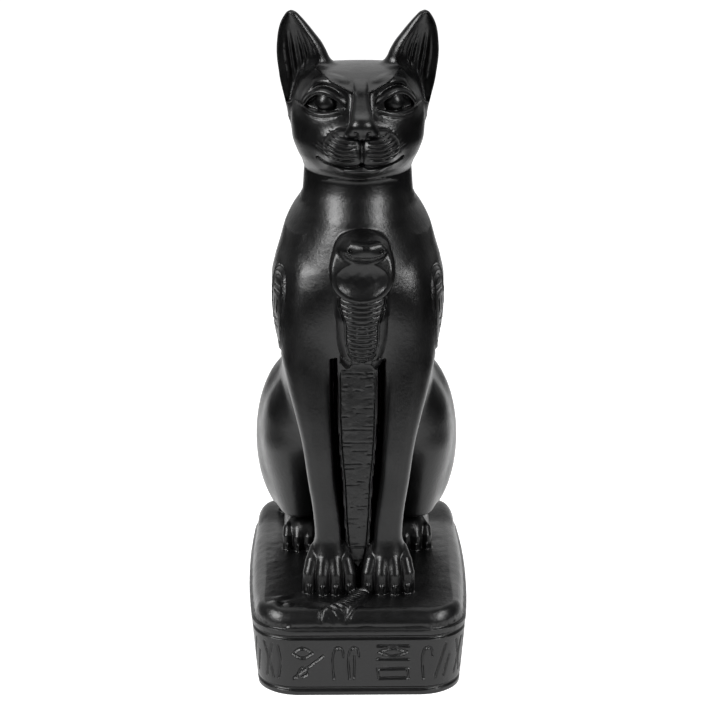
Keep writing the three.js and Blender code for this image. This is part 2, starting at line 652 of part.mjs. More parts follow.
// Samples a field at the corners of cells near its surface, and joins one point per loop of each cell into a
// closed mesh.
function surface(field, box, cell) {
  const block = 4;
  const counts = box.getSize(new THREE.Vector3()).divideScalar(cell * block).ceil();
  const nx = counts.x * block + 1;
  const ny = counts.y * block + 1;
  const nz = counts.z * block + 1;
  const values = new Float64Array(nx * ny * nz).fill(NaN);
  const { x: x0, y: y0, z: z0 } = box.min;
  const stride = [1, nx, nx * ny];
  const reach = cell * block * 0.5 * sqrt(3) + 9;
  const half = block / 2;
  const near = [];
  for (let k = 0; k < nz - 1; k += block)
    for (let j = 0; j < ny - 1; j += block)
      for (let i = 0; i < nx - 1; i += block)
        if (abs(field(x0 + (i + half) * cell, y0 + (j + half) * cell, z0 + (k + half) * cell)) < reach)
          near.push([i, j, k]);
  for (const [bi, bj, bk] of near)
    for (let k = bk; k <= bk + block; k++)
      for (let j = bj; j <= bj + block; j++)
        for (let i = bi; i <= bi + block; i++) {
          const n = i + j * stride[1] + k * stride[2];
          if (Number.isNaN(values[n])) values[n] = field(x0 + i * cell, y0 + j * cell, z0 + k * cell) || 1e-9;
        }
  // Where a side of a cell has only two opposite corners inside, one more is filled, so that the surface
  // passes through each side once.
  const justInside = -1e-9;
  let filled = true;
  while (filled) {
    filled = false;
    for (const [bi, bj, bk] of near)
      for (let k = bk; k <= bk + block; k++)
        for (let j = bj; j <= bj + block; j++)
          for (let i = bi; i <= bi + block; i++) {
            const n = i + j * stride[1] + k * stride[2];
            for (const [s, t] of [[stride[0], stride[1]], [stride[1], stride[2]], [stride[2], stride[0]]]) {
              const inside = values[n] < 0;
              if (inside !== values[n + s + t] < 0 || inside === values[n + s] < 0) continue;
              if (inside === values[n + t] < 0) continue;
              if (Number.isNaN(values[n + s + t] + values[n + s] + values[n + t])) continue;
              const [p, q] = inside ? [n + s, n + t] : [n, n + s + t];
              values[values[p] < values[q] ? p : q] = justInside;
              filled = true;
            }
          }
  }
  // A pocket that no way leads out of is filled. The first corner is out in the open.
  const open = new Uint8Array(values.length);
  const first = near[0].reduce((n, at, axis) => n + at * stride[axis], 0);
  const queue = [first];
  open[first] = 1;
  while (queue.length) {
    const n = queue.pop();
    for (const step of stride)
      for (const next of [n - step, n + step])
        if (values[next] > 0 && !open[next]) {
          open[next] = 1;
          queue.push(next);
        }
  }
  for (let n = 0; n < values.length; n++) if (values[n] > 0 && !open[n]) values[n] = justInside;
  const corner = CORNERS.map((c) => (c & 1) + ((c >> 1) & 1) * stride[1] + (c >> 2) * stride[2]);
  const cases = Array.from({ length: 1 << CORNERS.length }, (_, config) => loops(config));
  const points = [];
  const made = new Map();
  const key = (n, e) => n * 12 + e;
  for (const [bi, bj, bk] of near)
    for (let k = bk; k < bk + block; k++)
      for (let j = bj; j < bj + block; j++)
        for (let i = bi; i < bi + block; i++) {
          const n = i + j * stride[1] + k * stride[2];
          let config = 0;
          for (let c = 0; c < 8; c++) if (values[n + corner[c]] < 0) config |= 1 << c;
          for (const loop of cases[config]) {
            const p = [0, 0, 0];
            for (const e of loop) {
              const axis = e >> 2;
              const low = LOW[axis][e & 3];
              const a = values[n + corner[low]];
              const b = values[n + corner[low + (1 << axis)]];
              p[0] += (low & 1) / loop.length;
              p[1] += ((low >> 1) & 1) / loop.length;
              p[2] += (low >> 2) / loop.length;
              p[axis] += a / (a - b) / loop.length;
            }
            for (const e of loop) made.set(key(n, e), points.length / 3);
            points.push(x0 + (i + p[0]) * cell, y0 + (j + p[1]) * cell, z0 + (k + p[2]) * cell);
          }
        }
  // Each crossed grid edge joins the points of the four cells around it.
  const faces = [];
  const apart = (a, b) =>
    (points[3 * a] - points[3 * b]) ** 2 +
    (points[3 * a + 1] - points[3 * b + 1]) ** 2 +
    (points[3 * a + 2] - points[3 * b + 2]) ** 2;
  const done = new Set();
  for (const [bi, bj, bk] of near)
    for (let k = bk; k <= bk + block; k++)
      for (let j = bj; j <= bj + block; j++)
        for (let i = bi; i <= bi + block; i++) {
          const n = i + j * stride[1] + k * stride[2];
          for (let axis = 0; axis < 3; axis++) {
            const a = values[n];
            const b = values[n + stride[axis]];
            if (Number.isNaN(b) || a < 0 === b < 0 || done.has(3 * n + axis)) continue;
            const s = stride[(axis + 1) % 3];
            const t = stride[(axis + 2) % 3];
            const around = [[0, 0], [1, 0], [1, 1], [0, 1]].map(([ds, dt]) => {
              const low = (ds ? 1 << (axis + 1) % 3 : 0) + (dt ? 1 << (axis + 2) % 3 : 0);
              return made.get(key(n - ds * s - dt * t, 4 * axis + LOW[axis].indexOf(low)));
            });
            if (around.includes(undefined)) continue;
            done.add(3 * n + axis);
            const [p, q, r, w] = a < 0 ? around : around.reverse();
            if (apart(p, r) < apart(q, w)) faces.push(p, q, r, p, r, w);
            else faces.push(p, q, w, q, r, w);
          }
        }
  return { points: Float64Array.from(points), faces: Int32Array.from(faces) };
}

// Shortens a closed mesh to a number of triangles by drawing its cheapest edges together. Each point carries
// the sum of its faces' planes, and an edge costs the distance that its ends would leave those planes.
function simplify({ points, faces }, target) {
  const count = points.length / 3;
  const sums = new Float64Array(count * 10);
  const around = Array.from({ length: count }, () => []);
  const alive = new Uint8Array(faces.length / 3).fill(1);
  const stamp = new Int32Array(count);
  const normal = (ax, ay, az, bx, by, bz, cx, cy, cz) => {
    const ux = bx - ax, uy = by - ay, uz = bz - az;
    const vx = cx - ax, vy = cy - ay, vz = cz - az;
    return [uy * vz - uz * vy, uz * vx - ux * vz, ux * vy - uy * vx];
  };
  const P = points;
  const place = (v) => [P[3 * v], P[3 * v + 1], P[3 * v + 2]];
  for (let f = 0; f < alive.length; f++) {
    const [a, b, c] = [faces[3 * f], faces[3 * f + 1], faces[3 * f + 2]];
    for (const v of [a, b, c]) around[v].push(f);
    let [x, y, z] = normal(...place(a), ...place(b), ...place(c));
    const length = hypot(x, y, z) || 1e-12;
    const area = length / 2;
    x /= length;
    y /= length;
    z /= length;
    const w = -(x * P[3 * a] + y * P[3 * a + 1] + z * P[3 * a + 2]);
    const plane = [x * x, x * y, x * z, x * w, y * y, y * z, y * w, z * z, z * w, w * w];
    for (const v of [a, b, c]) for (let i = 0; i < 10; i++) sums[10 * v + i] += plane[i] * area;
  }
  // A weak pull to each point's own place keeps flat areas evenly spread.
  const pull = 2e-4;
  for (let v = 0; v < count; v++) {
    const [x, y, z] = place(v);
    const hold = [1, 0, 0, -x, 1, 0, -y, 1, -z, x * x + y * y + z * z];
    for (let i = 0; i < 10; i++) sums[10 * v + i] += pull * hold[i];
  }
  const best = new Float64Array(4);
  const q = new Float64Array(10);
  const price = (a, b) => {
    for (let i = 0; i < 10; i++) q[i] = sums[10 * a + i] + sums[10 * b + i];
    const [xx, xy, xz, xw, yy, yz, yw, zz, zw, ww] = q;
    const mx = yy * zz - yz * yz;
    const my = xz * yz - xy * zz;
    const mz = xy * yz - xz * yy;
    const det = xx * mx + xy * my + xz * mz;
    let x, y, z;
    const [ax, ay, az] = place(a);
    const [bx, by, bz] = place(b);
    const middle = [(ax + bx) / 2, (ay + by) / 2, (az + bz) / 2];
    const scale = xx + yy + zz;
    let solved = false;
    if (abs(det) > 1e-9 * scale * scale * scale) {
      x = -(mx * xw + my * yw + mz * zw) / det;
      y = -(my * xw + (xx * zz - xz * xz) * yw + (xy * xz - xx * yz) * zw) / det;
      z = -(mz * xw + (xy * xz - xx * yz) * yw + (xx * yy - xy * xy) * zw) / det;
      const allowed = 2 * hypot(ax - bx, ay - by, az - bz) + 0.2;
      solved = hypot(x - middle[0], y - middle[1], z - middle[2]) < allowed;
    }
    if (!solved) [x, y, z] = middle;
    best[0] = x;
    best[1] = y;
    best[2] = z;
    best[3] = x * (xx * x + 2 * (xy * y + xz * z + xw)) + y * (yy * y + 2 * (yz * z + yw));
    best[3] += z * (zz * z + 2 * zw) + ww;
    return best[3];
  };
  // A heap of edges, cheapest first. An entry is stale when either end has moved since.
  let size = 0;
  let room = 1 << 21;
  let costs = new Float64Array(room);
  let entries = new Int32Array(room * 3);
  const swap = (i, j) => {
    [costs[i], costs[j]] = [costs[j], costs[i]];
    for (let e = 0; e < 3; e++) {
      const keep = entries[3 * i + e];
      entries[3 * i + e] = entries[3 * j + e];
      entries[3 * j + e] = keep;
    }
  };
  const push = (a, b) => {
    if (size === room) {
      room *= 2;
      const wider = new Float64Array(room);
      wider.set(costs);
      costs = wider;
      const longer = new Int32Array(room * 3);
      longer.set(entries);
      entries = longer;
    }
    costs[size] = price(a, b);
    entries[3 * size] = a;
    entries[3 * size + 1] = b;
    entries[3 * size + 2] = stamp[a] + stamp[b];
    let i = size++;
    while (i > 0) {
      const up = (i - 1) >> 1;
      if (costs[up] <= costs[i]) break;
      swap(i, up);
      i = up;
    }
  };
  const drop = () => {
    size--;
    if (size > 0) swap(0, size);
    let i = 0;
    for (;;) {
      const l = 2 * i + 1;
      const r = l + 1;
      let low = i;
      if (l < size && costs[l] < costs[low]) low = l;
      if (r < size && costs[r] < costs[low]) low = r;
      if (low === i) return;
      swap(i, low);
      i = low;
    }
  };
  const ring = (v) => {
    const found = new Set();
    for (const f of around[v])
      if (alive[f]) for (let e = 0; e < 3; e++) if (faces[3 * f + e] !== v) found.add(faces[3 * f + e]);
    return found;
  };
  const gone = new Uint8Array(count);
  for (let f = 0; f < alive.length; f++)
    for (let e = 0; e < 3; e++) {
      const a = faces[3 * f + e];
      const b = faces[3 * f + ((e + 1) % 3)];
      if (a < b) push(a, b);
    }
  const folds = (v, other) => {
    for (const f of around[v]) {
      if (!alive[f]) continue;
      const ids = [faces[3 * f], faces[3 * f + 1], faces[3 * f + 2]];
      if (ids.includes(other)) continue;
      const now = ids.map(place);
      const then = ids.map((n, i) => (n === v ? [best[0], best[1], best[2]] : now[i]));
      const before = normal(...now[0], ...now[1], ...now[2]);
      const after = normal(...then[0], ...then[1], ...then[2]);
      const lengths = hypot(...before) * hypot(...after);
      const turn = before[0] * after[0] + before[1] * after[1] + before[2] * after[2];
      if (turn < 0.25 * lengths + 1e-12) return true;
      const sides = [0, 1, 2].map((e) => {
        const [m, n] = [then[e], then[(e + 1) % 3]];
        return (m[0] - n[0]) ** 2 + (m[1] - n[1]) ** 2 + (m[2] - n[2]) ** 2;
      });
      if (hypot(...after) < 0.04 * max(...sides)) return true;
    }
    return false;
  };
  let left = alive.length;
  while (left > target && size > 0) {
    const a = entries[0];
    const b = entries[1];
    const when = entries[2];
    drop();
    if (gone[a] || gone[b] || stamp[a] + stamp[b] !== when) continue;
    const ringA = ring(a);
    const ringB = ring(b);
    let shared = 0;
    for (const n of ringA) shared += ringB.has(n);
    if (shared !== 2) continue;
    price(a, b);
    if (folds(a, b) || folds(b, a)) continue;
    for (let i = 0; i < 3; i++) P[3 * a + i] = best[i];
    for (let i = 0; i < 10; i++) sums[10 * a + i] += sums[10 * b + i];
    for (const f of around[b]) {
      if (!alive[f]) continue;
      const has = faces[3 * f] === a || faces[3 * f + 1] === a || faces[3 * f + 2] === a;
      if (has) {
        alive[f] = 0;
        left--;
        continue;
      }
      for (let e = 0; e < 3; e++) if (faces[3 * f + e] === b) faces[3 * f + e] = a;
      around[a].push(f);
    }
    around[a] = around[a].filter((f) => alive[f]);
    around[b] = [];
    gone[b] = 1;
    stamp[a]++;
    for (const n of ring(a)) push(min(a, n), max(a, n));
  }
  const kept = [];
  for (let f = 0; f < alive.length; f++)
    if (alive[f]) kept.push(faces[3 * f], faces[3 * f + 1], faces[3 * f + 2]);
  return { points: P, faces: kept };
}

// The box that the field is sampled in reaches past the plinth and past the figure's own widths.
const FIGURE_REACH = [50, 76];
const MARGIN = 3;
const reachX = max(PLINTH_WIDTH / 2 + PLINTH_BULGE, FIGURE_REACH[0] * MODULE) + MARGIN;
const reachY = max(PLINTH_LENGTH / 2, FIGURE_REACH[1] * MODULE) + MARGIN;
const GRID = new THREE.Box3(
  new THREE.Vector3(-reachX, -reachY, -CELL * 1.5),
  new THREE.Vector3(reachX, reachY, SEAT + FIGURE_HEIGHT + MARGIN),
);
// The underside is cut exactly flat.
const light = simplify(surface(statue(), GRID, CELL), TRIANGLES);
const used = new Map();
const places = [];
const index = light.faces.map((v) => {
  if (!used.has(v)) {
    used.set(v, places.length / 3);
    const z = light.points[3 * v + 2];
    places.push(light.points[3 * v], light.points[3 * v + 1], abs(z) < 0.05 ? 0 : z);
  }
  return used.get(v);
});
const geometry = new THREE.BufferGeometry();
geometry.setAttribute("position", new THREE.Float32BufferAttribute(places, 3));
geometry.setIndex(index);
geometry.computeVertexNormals();
const black = new THREE.MeshStandardMaterial({ color: 0x141416, roughness: 0.4, metalness: 0 });
const mesh = new THREE.Mesh(geometry, black);
mesh.name = "bastet_cat";
const group = new THREE.Group();
group.add(mesh);
export default group;
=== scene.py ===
"""A seated cat figure in black cast resin, with a cobra on its chest, on a cushioned plinth.

The figure is sculpted as a field of distances, sampled on a grid and drawn off as one closed mesh.
Lengths are in millimetres in the sculpture and in metres in Blender. +Z is up and the cat faces -Y.
"""

import functools
import math

import bpy
import numpy as np
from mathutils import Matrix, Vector


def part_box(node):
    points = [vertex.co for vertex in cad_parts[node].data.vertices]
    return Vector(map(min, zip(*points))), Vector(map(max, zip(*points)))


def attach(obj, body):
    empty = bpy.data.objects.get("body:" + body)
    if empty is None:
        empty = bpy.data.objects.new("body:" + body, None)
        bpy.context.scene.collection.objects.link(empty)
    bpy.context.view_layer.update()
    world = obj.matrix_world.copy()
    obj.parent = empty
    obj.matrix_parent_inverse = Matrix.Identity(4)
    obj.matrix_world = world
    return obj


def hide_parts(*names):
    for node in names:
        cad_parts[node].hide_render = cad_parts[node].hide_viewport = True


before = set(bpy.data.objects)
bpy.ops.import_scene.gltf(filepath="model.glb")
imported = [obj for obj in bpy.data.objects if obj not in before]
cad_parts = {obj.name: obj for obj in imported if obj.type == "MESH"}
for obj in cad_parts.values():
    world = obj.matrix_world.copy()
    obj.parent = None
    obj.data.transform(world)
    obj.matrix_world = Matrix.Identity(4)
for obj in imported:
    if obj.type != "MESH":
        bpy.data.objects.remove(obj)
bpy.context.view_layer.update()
LOW, HIGH = (np.array(corner) * 1000 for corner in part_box("bastet_cat"))

# The grid that the field is sampled on, and the triangles that are kept of it.
CELL = 0.56
TRIANGLES = 190000
BLOCK = 12

# The plinth, from the frame's box, of which its knocked sides leave this much free.
SIDE_ROOM = 0.3
PLINTH_LENGTH = HIGH[1] - LOW[1] - SIDE_ROOM
PLINTH_BULGE = 4.4
PLINTH_WIDEST = 10.0
PLINTH_WIDTH = HIGH[0] - LOW[0] - 2 * PLINTH_BULGE - SIDE_ROOM
PLINTH_CORNER = 17.0
PLINTH_DRAFT = 2.4
PLINTH_RAKE = 0.6
FOOT_HEIGHT = 3.2
BAND_HEIGHT = 25.0
RIM_HEIGHT = 4.6
RIM_PROUD = 0.3
CUSHION_INSET = 1.4
CUSHION_HEIGHT = 7.4
CUSHION_SLOPE = 3.4
CUSHION_FRONT_SLOPE = 7
CUSHION_SPREAD = 0.08
CUSHION_WIDEST = 6.5
CUSHION_HUMP = 3.4
CUSHION_DISH = 0.6
GROOVE_RADIUS = 0.9
BAND_TOP = FOOT_HEIGHT + BAND_HEIGHT
RIM_TOP = BAND_TOP + RIM_HEIGHT
CUSHION_TOP = RIM_TOP + CUSHION_HEIGHT
SEAT = CUSHION_TOP - CUSHION_DISH

# The figure is drawn in modules, of which its height from the seat to the ear tips has this many.
FIGURE_MODULES = 260.4
MODULE = (HIGH[2] - SEAT) / FIGURE_MODULES


def clamp(value, low=0.0, high=1.0):
    return np.clip(value, low, high)


def within(*fields):
    """What lies within all the fields."""
    return functools.reduce(np.maximum, fields)


def either(*fields):
    """What lies within any of the fields."""
    return functools.reduce(np.minimum, fields)


def join(a, b, k):
    """Two fields joined, rounded over the width k."""
    h = np.maximum(k - np.abs(a - b), 0) / k
    return np.minimum(a, b) - h * h * (k / 4)


def cut(a, b, k):
    """The second field taken out of the first."""
    return -join(-a, b, k)


def bump(t):
    """A smooth hill of height 1 that ends at t = 1."""
    return np.where(np.abs(t) < 1, (1 - t * t) ** 2, 0)


def rounded(u, v, radius):
    """Where u and v are both below the radius, with the edge between them rounded by it."""
    return np.hypot(np.maximum(u, 0), np.maximum(v, 0)) + np.minimum(np.maximum(u, v), 0) - radius


class Stations:
    """Smooth curves through rows of [t, value, value, ...] that stay monotone between the rows."""

    samples = 600

    def __init__(self, *rows):
        self.low, self.high = rows[0][0], rows[-1][0]
        rows = np.array(rows, float)
        t, values = rows[:, 0], rows[:, 1:]
        steps = np.diff(t)[:, None]
        slope = np.diff(values, axis=0) / steps
        inner = np.zeros_like(values)
        before, after = slope[:-1], slope[1:]
        same = before * after > 0
        total = np.where(same, before + after, 1)
        inner[1:-1] = np.where(same, 2 * before * after / total, 0)
        self.t = np.linspace(t[0], t[-1], self.samples)
        i = np.clip(np.searchsorted(t, self.t, "right") - 1, 0, len(t) - 2)
        h = (t[i + 1] - t[i])[:, None]
        u = (self.t - t[i])[:, None] / h
        a, b = values[i], values[i + 1]
        sa, sb = inner[i] * h, inner[i + 1] * h
        self.values = a + u * (sa + u * (3 * (b - a) - 2 * sa - sb + u * (2 * (a - b) + sa + sb)))

    def __call__(self, t, column=0):
        return np.interp(t, self.t, self.values[:, column]).astype(np.float32)


def ellipsoid(p, centre, radii, tilt=0.0):
    """An ellipsoid, tilted about X."""
    x, y, z = p
    c, s = math.cos(tilt), math.sin(tilt)
    dy, dz = y - centre[1], z - centre[2]
    px = (x - centre[0]) / radii[0]
    py = (c * dy + s * dz) / radii[1]
    pz = (c * dz - s * dy) / radii[2]
    k0 = np.sqrt(px * px + py * py + pz * pz) + 1e-6
    k1 = np.sqrt((px / radii[0]) ** 2 + (py / radii[1]) ** 2 + (pz / radii[2]) ** 2) + 1e-6
    return k0 * (k0 - 1) / k1


def rod(p, a, b, ra, rb, flat=1.0):
    """A tapered rod with round ends, squeezed along Y by flat."""
    x, y, z = p
    dx, dy, dz = b[0] - a[0], (b[1] - a[1]) / flat, b[2] - a[2]
    px, py, pz = x - a[0], (y - a[1]) / flat, z - a[2]
    t = clamp((px * dx + py * dy + pz * dz) / (dx * dx + dy * dy + dz * dz))
    gap = np.sqrt((px - dx * t) ** 2 + (py - dy * t) ** 2 + (pz - dz * t) ** 2)
    return (gap - ra - (rb - ra) * t) * min(flat, 1)


def limb(p, points, radii, flat=1.0):
    """Rods from point to point."""
    ends = list(zip(points, radii))
    return either(*(rod(p, a, b, ra, rb, flat) for (a, ra), (b, rb) in zip(ends, ends[1:])))


class Stack:
    """Rounded sections up Z, from rows of [z, half width, front y, back y, power of the section]."""

    def __init__(self, *rows):
        self.at = Stations(*rows)

    def __call__(self, p):
        x, y, z = p
        n = self.at(z, 3)
        a, front, back = (self.at(z, i) for i in range(3))
        b = (back - front) / 2
        dy = y - (front + back) / 2
        px, py = np.abs(x) / a, np.abs(dy) / b
        k = (px**n + py**n) ** (1 / n) + 1e-6
        gx = (px / k) ** (n - 1) / a
        gy = (py / k) ** (n - 1) / b
        step = 0.4
        leans = [(self.at(z + step, i) - self.at(z - step, i)) / (2 * step) for i in range(3)]
        lean = (gx * leans[0]) ** 2 + (gy * np.where(dy < 0, leans[1], leans[2])) ** 2
        side = (k - 1) / (np.sqrt(gx * gx + gy * gy + lean) + 1e-6)
        return within(side, self.at.low - z, z - self.at.high)


def line_gap(u, v, line):
    """How far points of a plane are from a line through some of its points."""
    found = np.full(np.shape(u), 1e9, np.float32)
    for (au, av), (bu, bv) in zip(line, line[1:]):
        du, dv = bu - au, bv - av
        t = clamp(((u - au) * du + (v - av) * dv) / (du * du + dv * dv))
        found = np.minimum(found, np.hypot(u - au - du * t, v - av - dv * t))
    return found


def ridge(u, v, line, height, wide):
    """The height of a smooth ridge along a line."""
    return height * bump(line_gap(u, v, line) / wide)


def between(a, b, c, d, t):
    """The value at the share t of the way from b to c, smooth through its neighbours a and d."""
    bend = 2 * a - 5 * b + 4 * c - d
    twist = 3 * b - a - 3 * c + d
    return 0.5 * (2 * b + (c - a) * t + bend * t * t + twist * t**3)


def curve(points, steps=6):
    """A smooth line through some points of a plane."""
    points = [points[0], *points, points[-1]]
    line = []
    for four in zip(points, points[1:], points[2:], points[3:]):
        for i in range(steps):
            line.append(tuple(between(*values, i / steps) for values in zip(*four)))
    return line + [points[-2]]


def noise(x, y, z, seed):
    """Smooth noise from -1 to 1 with features about one unit across."""
    total = np.zeros(np.shape(x), np.float32)
    rng = np.random.default_rng(seed)
    for _ in range(7):
        direction = rng.normal(size=3)
        direction *= rng.uniform(1.6, 4.2) / np.linalg.norm(direction)
        total += np.sin(direction[0] * x + direction[1] * y + direction[2] * z + rng.uniform(0, 6.3))
    return total / 3.2


# The figure's forms, in modules above the seat.
BODY = Stack(
    [-2, 24, 22, 59, 2.15],
    [10, 27, 17, 63, 2.15],
    [28, 31, 4, 65.5, 2.15],
    [48, 34, -10, 64.5, 2.15],
    [68, 35.2, -22, 59.5, 2.15],
    [86, 34.8, -31, 53, 2.4],
    [98, 34.9, -37.5, 48, 2.8],
    [108, 35.8, -42, 44, 3],
    [120, 37.9, -47, 39, 2.9],
    [132, 38.9, -50, 33.5, 2.5],
    [140, 38.8, -50.8, 30, 2.25],
    [148, 37.3, -50, 26, 2.15],
    [156, 35, -47.4, 22.5, 2.15],
    [164, 32.7, -42, 18.5, 2.15],
    [171, 29.4, -33, 14, 2.15],
    [177, 24.4, -22, 9, 2.15],
    [182, 13, -12, 3, 2.15],
)
NECK = Stack(
    [138, 19, -45, 2, 2.05],
    [150, 23.6, -48, 8, 2.05],
    [160, 25.8, -48, 10, 2.05],
    [170, 25.6, -46, 9.5, 2],
    [176, 25, -43.4, 9, 1.95],
    [182, 24.4, -41, 8.5, 1.95],
    [188, 24, -40, 8, 2],
    [204, 23, -39, 8, 2.05],
)
SKULL = Stack(
    [190, 17.6, -42, 0, 2.1],
    [194, 23.4, -44.5, 4, 2.1],
    [199, 26.8, -46, 7, 2.1],
    [206, 29, -47, 9.5, 2.2],
    [214, 29.4, -46.6, 11, 2.35],
    [222, 28.3, -45.4, 11.5, 2.25],
    [229, 26.2, -43.8, 9, 2.1],
    [236, 23.5, -41, 5.5, 2.1],
    [246, 20.5, -38, 2, 2.1],
)
# The ear: [z, centre x, half width, centre y, half depth].
EAR = Stations(
    [212, 20, 10.8, -11, 8],
    [220, 21, 11.8, -12.5, 8.5],
    [229, 22.4, 12.4, -14.5, 8.6],
    [236, 23.4, 12.4, -16, 8],
    [241, 24.3, 11.8, -17.2, 7.4],
    [246, 25.4, 10.4, -18.4, 6.4],
    [251, 26.9, 8.1, -19.8, 5.2],
    [255, 27.9, 5.8, -21, 3.9],
    [258.2, 28.5, 3.4, -22, 2.6],
    [259.6, 28.7, 2.1, -22.3, 1.7],
    [260.2, 28.8, 1, -22.4, 0.9],
    [260.4, 28.8, 0.2, -22.4, 0.2],
)
EAR_TURN = 0.42
EAR_RIM = 1.5


def torso(p):
    return join(BODY(p), NECK(p), 5)


# The head turns about this place on the Y axis.
HEAD_TURN = 0.035
HEAD_AXIS = -18
CROWN_TOP = 236.9
CROWN_PLACE = -16
SOCKET_PLACE = 12.6
SOCKET_HALF = 10.4
BROW_START = 3.4
BROW_LEVEL = 228
BROW_HEIGHT = 3.4
NOSE_ROUND = 3

# The bridge of the nose from its tip to the brow: [z, half width, front y].
NOSE = Stations(
    [211, 2.6, -56],
    [215, 4.6, -58],
    [218.5, 4.6, -58],
    [222.5, 4, -53.6],
    [227, 3.5, -48.6],
    [229.5, 3.5, -46.2],
    [232, 3.8, -42],
    [235, 4.5, -35],
)


def whisker(share):
    """One of the lines that are cut in the muzzle, from the highest at 0 to the lowest at 1."""
    inner = (3.2 - 1.4 * share, 210.3 - 8.9 * share)
    middle = (9.3 - 0.4 * share, 210.9 - 9.8 * share)
    outer = (12.5 + 7.6 * share, 213.4 - 8.2 * share)
    return curve([inner, middle, outer])


WHISKER_LINES = 6
WHISKERS = [whisker(share) for share in np.linspace(0, 1, WHISKER_LINES)]
MOUTH = curve([(0, 198.6), (3.4, 197.6), (9.7, 197.3), (14.2, 197.8), (18.2, 199.4)])
LOWER_LIP = curve([(0, 195.8), (4, 195.6), (7.5, 195.9)])
EYE_CORNER = [(24, 221), (26.8, 221.6)]

# The eye's own axes: across it, up it and out of it.
EYE_PLACE = (15.0, -37.8, 223.4)
EYE_OUT = math.radians(30)


def eye(p, d):
    """The head with the lids, the opening between them, the ball and the creases round them."""
    x, y, z = p
    c, s = math.cos(EYE_OUT), math.sin(EYE_OUT)
    dx, dy = x - EYE_PLACE[0], y - EYE_PLACE[1]
    a = c * dx + s * dy
    b = z - EYE_PLACE[2]
    out = s * dx - c * dy
    q = (a, out, b)
    lids = ellipsoid(q, (0, -2.4, -0.9), (11.8, 7.1, 8.6))
    over = ellipsoid(q, (-1.5, -2.2, 8), (8.6, 3.7, 3.2))
    d = join(join(d, lids, 1.6), over, 1.5)
    upper = 3.5 - np.where(a < 0, 0.052, 0.07) * a * a
    lower = -4.0 + 0.019 * a * a
    opening = np.maximum(np.maximum(b - upper, lower - b) * 0.85, 0.2 - out)
    ball = ellipsoid(q, (-0.6, -1.7, 0), (5.3, 6.1, 5.4))
    d = join(cut(d, opening, 0.5), ball, 0.3)
    crease = 6.9 - np.where(a < 0, 0.05, 0.066) * a * a
    front = clamp((out + 2) / 2) * bump(a / 12.5)
    d = d + 1.1 * bump((b - crease) / 1.3) * front
    d = d - 0.9 * bump((b - (upper + crease) / 2) / 1.8) * front
    d = d - 0.5 * bump((b - crease - 2.4) / 2.2) * front
    d = d - 0.6 * bump((b - lower + 1.0) / 1.0) * front
    d = d + 0.5 * bump((b - lower + 2.4) / 0.8) * front
    return d


def brow(x, y, z):
    """The height of the brow's step over the eye, which fades up the forehead."""
    rise = z - BROW_LEVEL - (x - BROW_START) * 0.42 - 0.008 * (x - BROW_START) ** 2
    step = clamp(rise / 1.5 + 0.5)
    fall = 0.6 * clamp(1 - rise / 4) ** 2 + 0.4 * clamp(1 - rise / 10) ** 2
    height = BROW_HEIGHT * step * step * (3 - 2 * step) * clamp((x - 1.6) / 2) * clamp((26 - x) / 12)
    return height * fall * clamp((-18 - y) / 14)


def nose(q, d):
    """The head with the bridge, the tip, the wings, the muzzle and the nostrils."""
    x, y, z = q
    bridge = rounded(x - NOSE(z, 0) + NOSE_ROUND, NOSE(z, 1) + NOSE_ROUND - y, NOSE_ROUND)
    d = join(d, within(bridge * 0.75, 211 - z, z - 233, y + 34), 0.4)
    tip = ellipsoid(q, (0, -56.4, 216), (5.7, 4.2, 4.1))
    wing = ellipsoid(q, (4.2, -54.9, 213.8), (2.7, 3.2, 2.9))
    lobe = ellipsoid(q, (0, -56.6, 212.4), (2.4, 2.8, 3))
    muzzle = ellipsoid(q, (7.6, -50.2, 206), (9, 7.4, 7.6))
    nostril = ellipsoid(q, (2.9, -59.5, 212.8), (1.2, 1.9, 1.3))
    d = join(join(join(join(d, tip, 1.4), wing, 1), lobe, 1), muzzle, 1.6)
    return cut(d, nostril, 0.4)


def face_relief(x, z):
    """The height of the mouth, the whisker lines and the groove below the nose."""
    relief = -1.2 * bump(x / 1.4) * clamp((211 - z) / 1.5) * clamp((z - 197.5) / 1)
    for line in WHISKERS:
        relief -= ridge(x, z, line, 0.85, 0.68) * clamp((x - 2) / 3) * clamp((line[-1][0] + 0.4 - x) / 4)
    relief -= ridge(x, z, MOUTH, 1.2, 1.1)
    relief += ridge(x, z, LOWER_LIP, 0.5, 1.3)
    relief -= ridge(x, z, EYE_CORNER, 0.5, 0.7)
    return relief


def head(p):
    """The head on its own axes, with one side for both."""
    world_x, world_y, z = p
    c, s = math.cos(HEAD_TURN), math.sin(HEAD_TURN)
    x = np.abs(c * world_x + s * (world_y - HEAD_AXIS))
    y = c * (world_y - HEAD_AXIS) - s * world_x + HEAD_AXIS
    q = (x, y, z)
    fall = np.where(y < CROWN_PLACE, 0.006, 0.011)
    crown = CROWN_TOP - 0.0022 * x * x - fall * (y - CROWN_PLACE) ** 2
    jaw = ellipsoid(q, (0, -43, 203.4), (17.5, 13, 9.6))
    chin = ellipsoid(q, (0, -45.4, 195.6), (9.5, 8, 3.6))
    d = join(join(cut(SKULL(q), (crown - z) * 0.95, 7), jaw, 5), chin, 3)
    squared = (x - SOCKET_PLACE) * np.abs(x - SOCKET_PLACE) / SOCKET_HALF
    socket = ellipsoid((squared, y, z), (0, -51.2, 226), (SOCKET_HALF, 9.4, 5.9), 0.1)
    d = cut(d, 0.75 * socket, 1.8)
    d = d - brow(x, y, z)
    d = nose(q, eye(q, d))
    return d - np.where(y < -20, face_relief(x, z), 0)


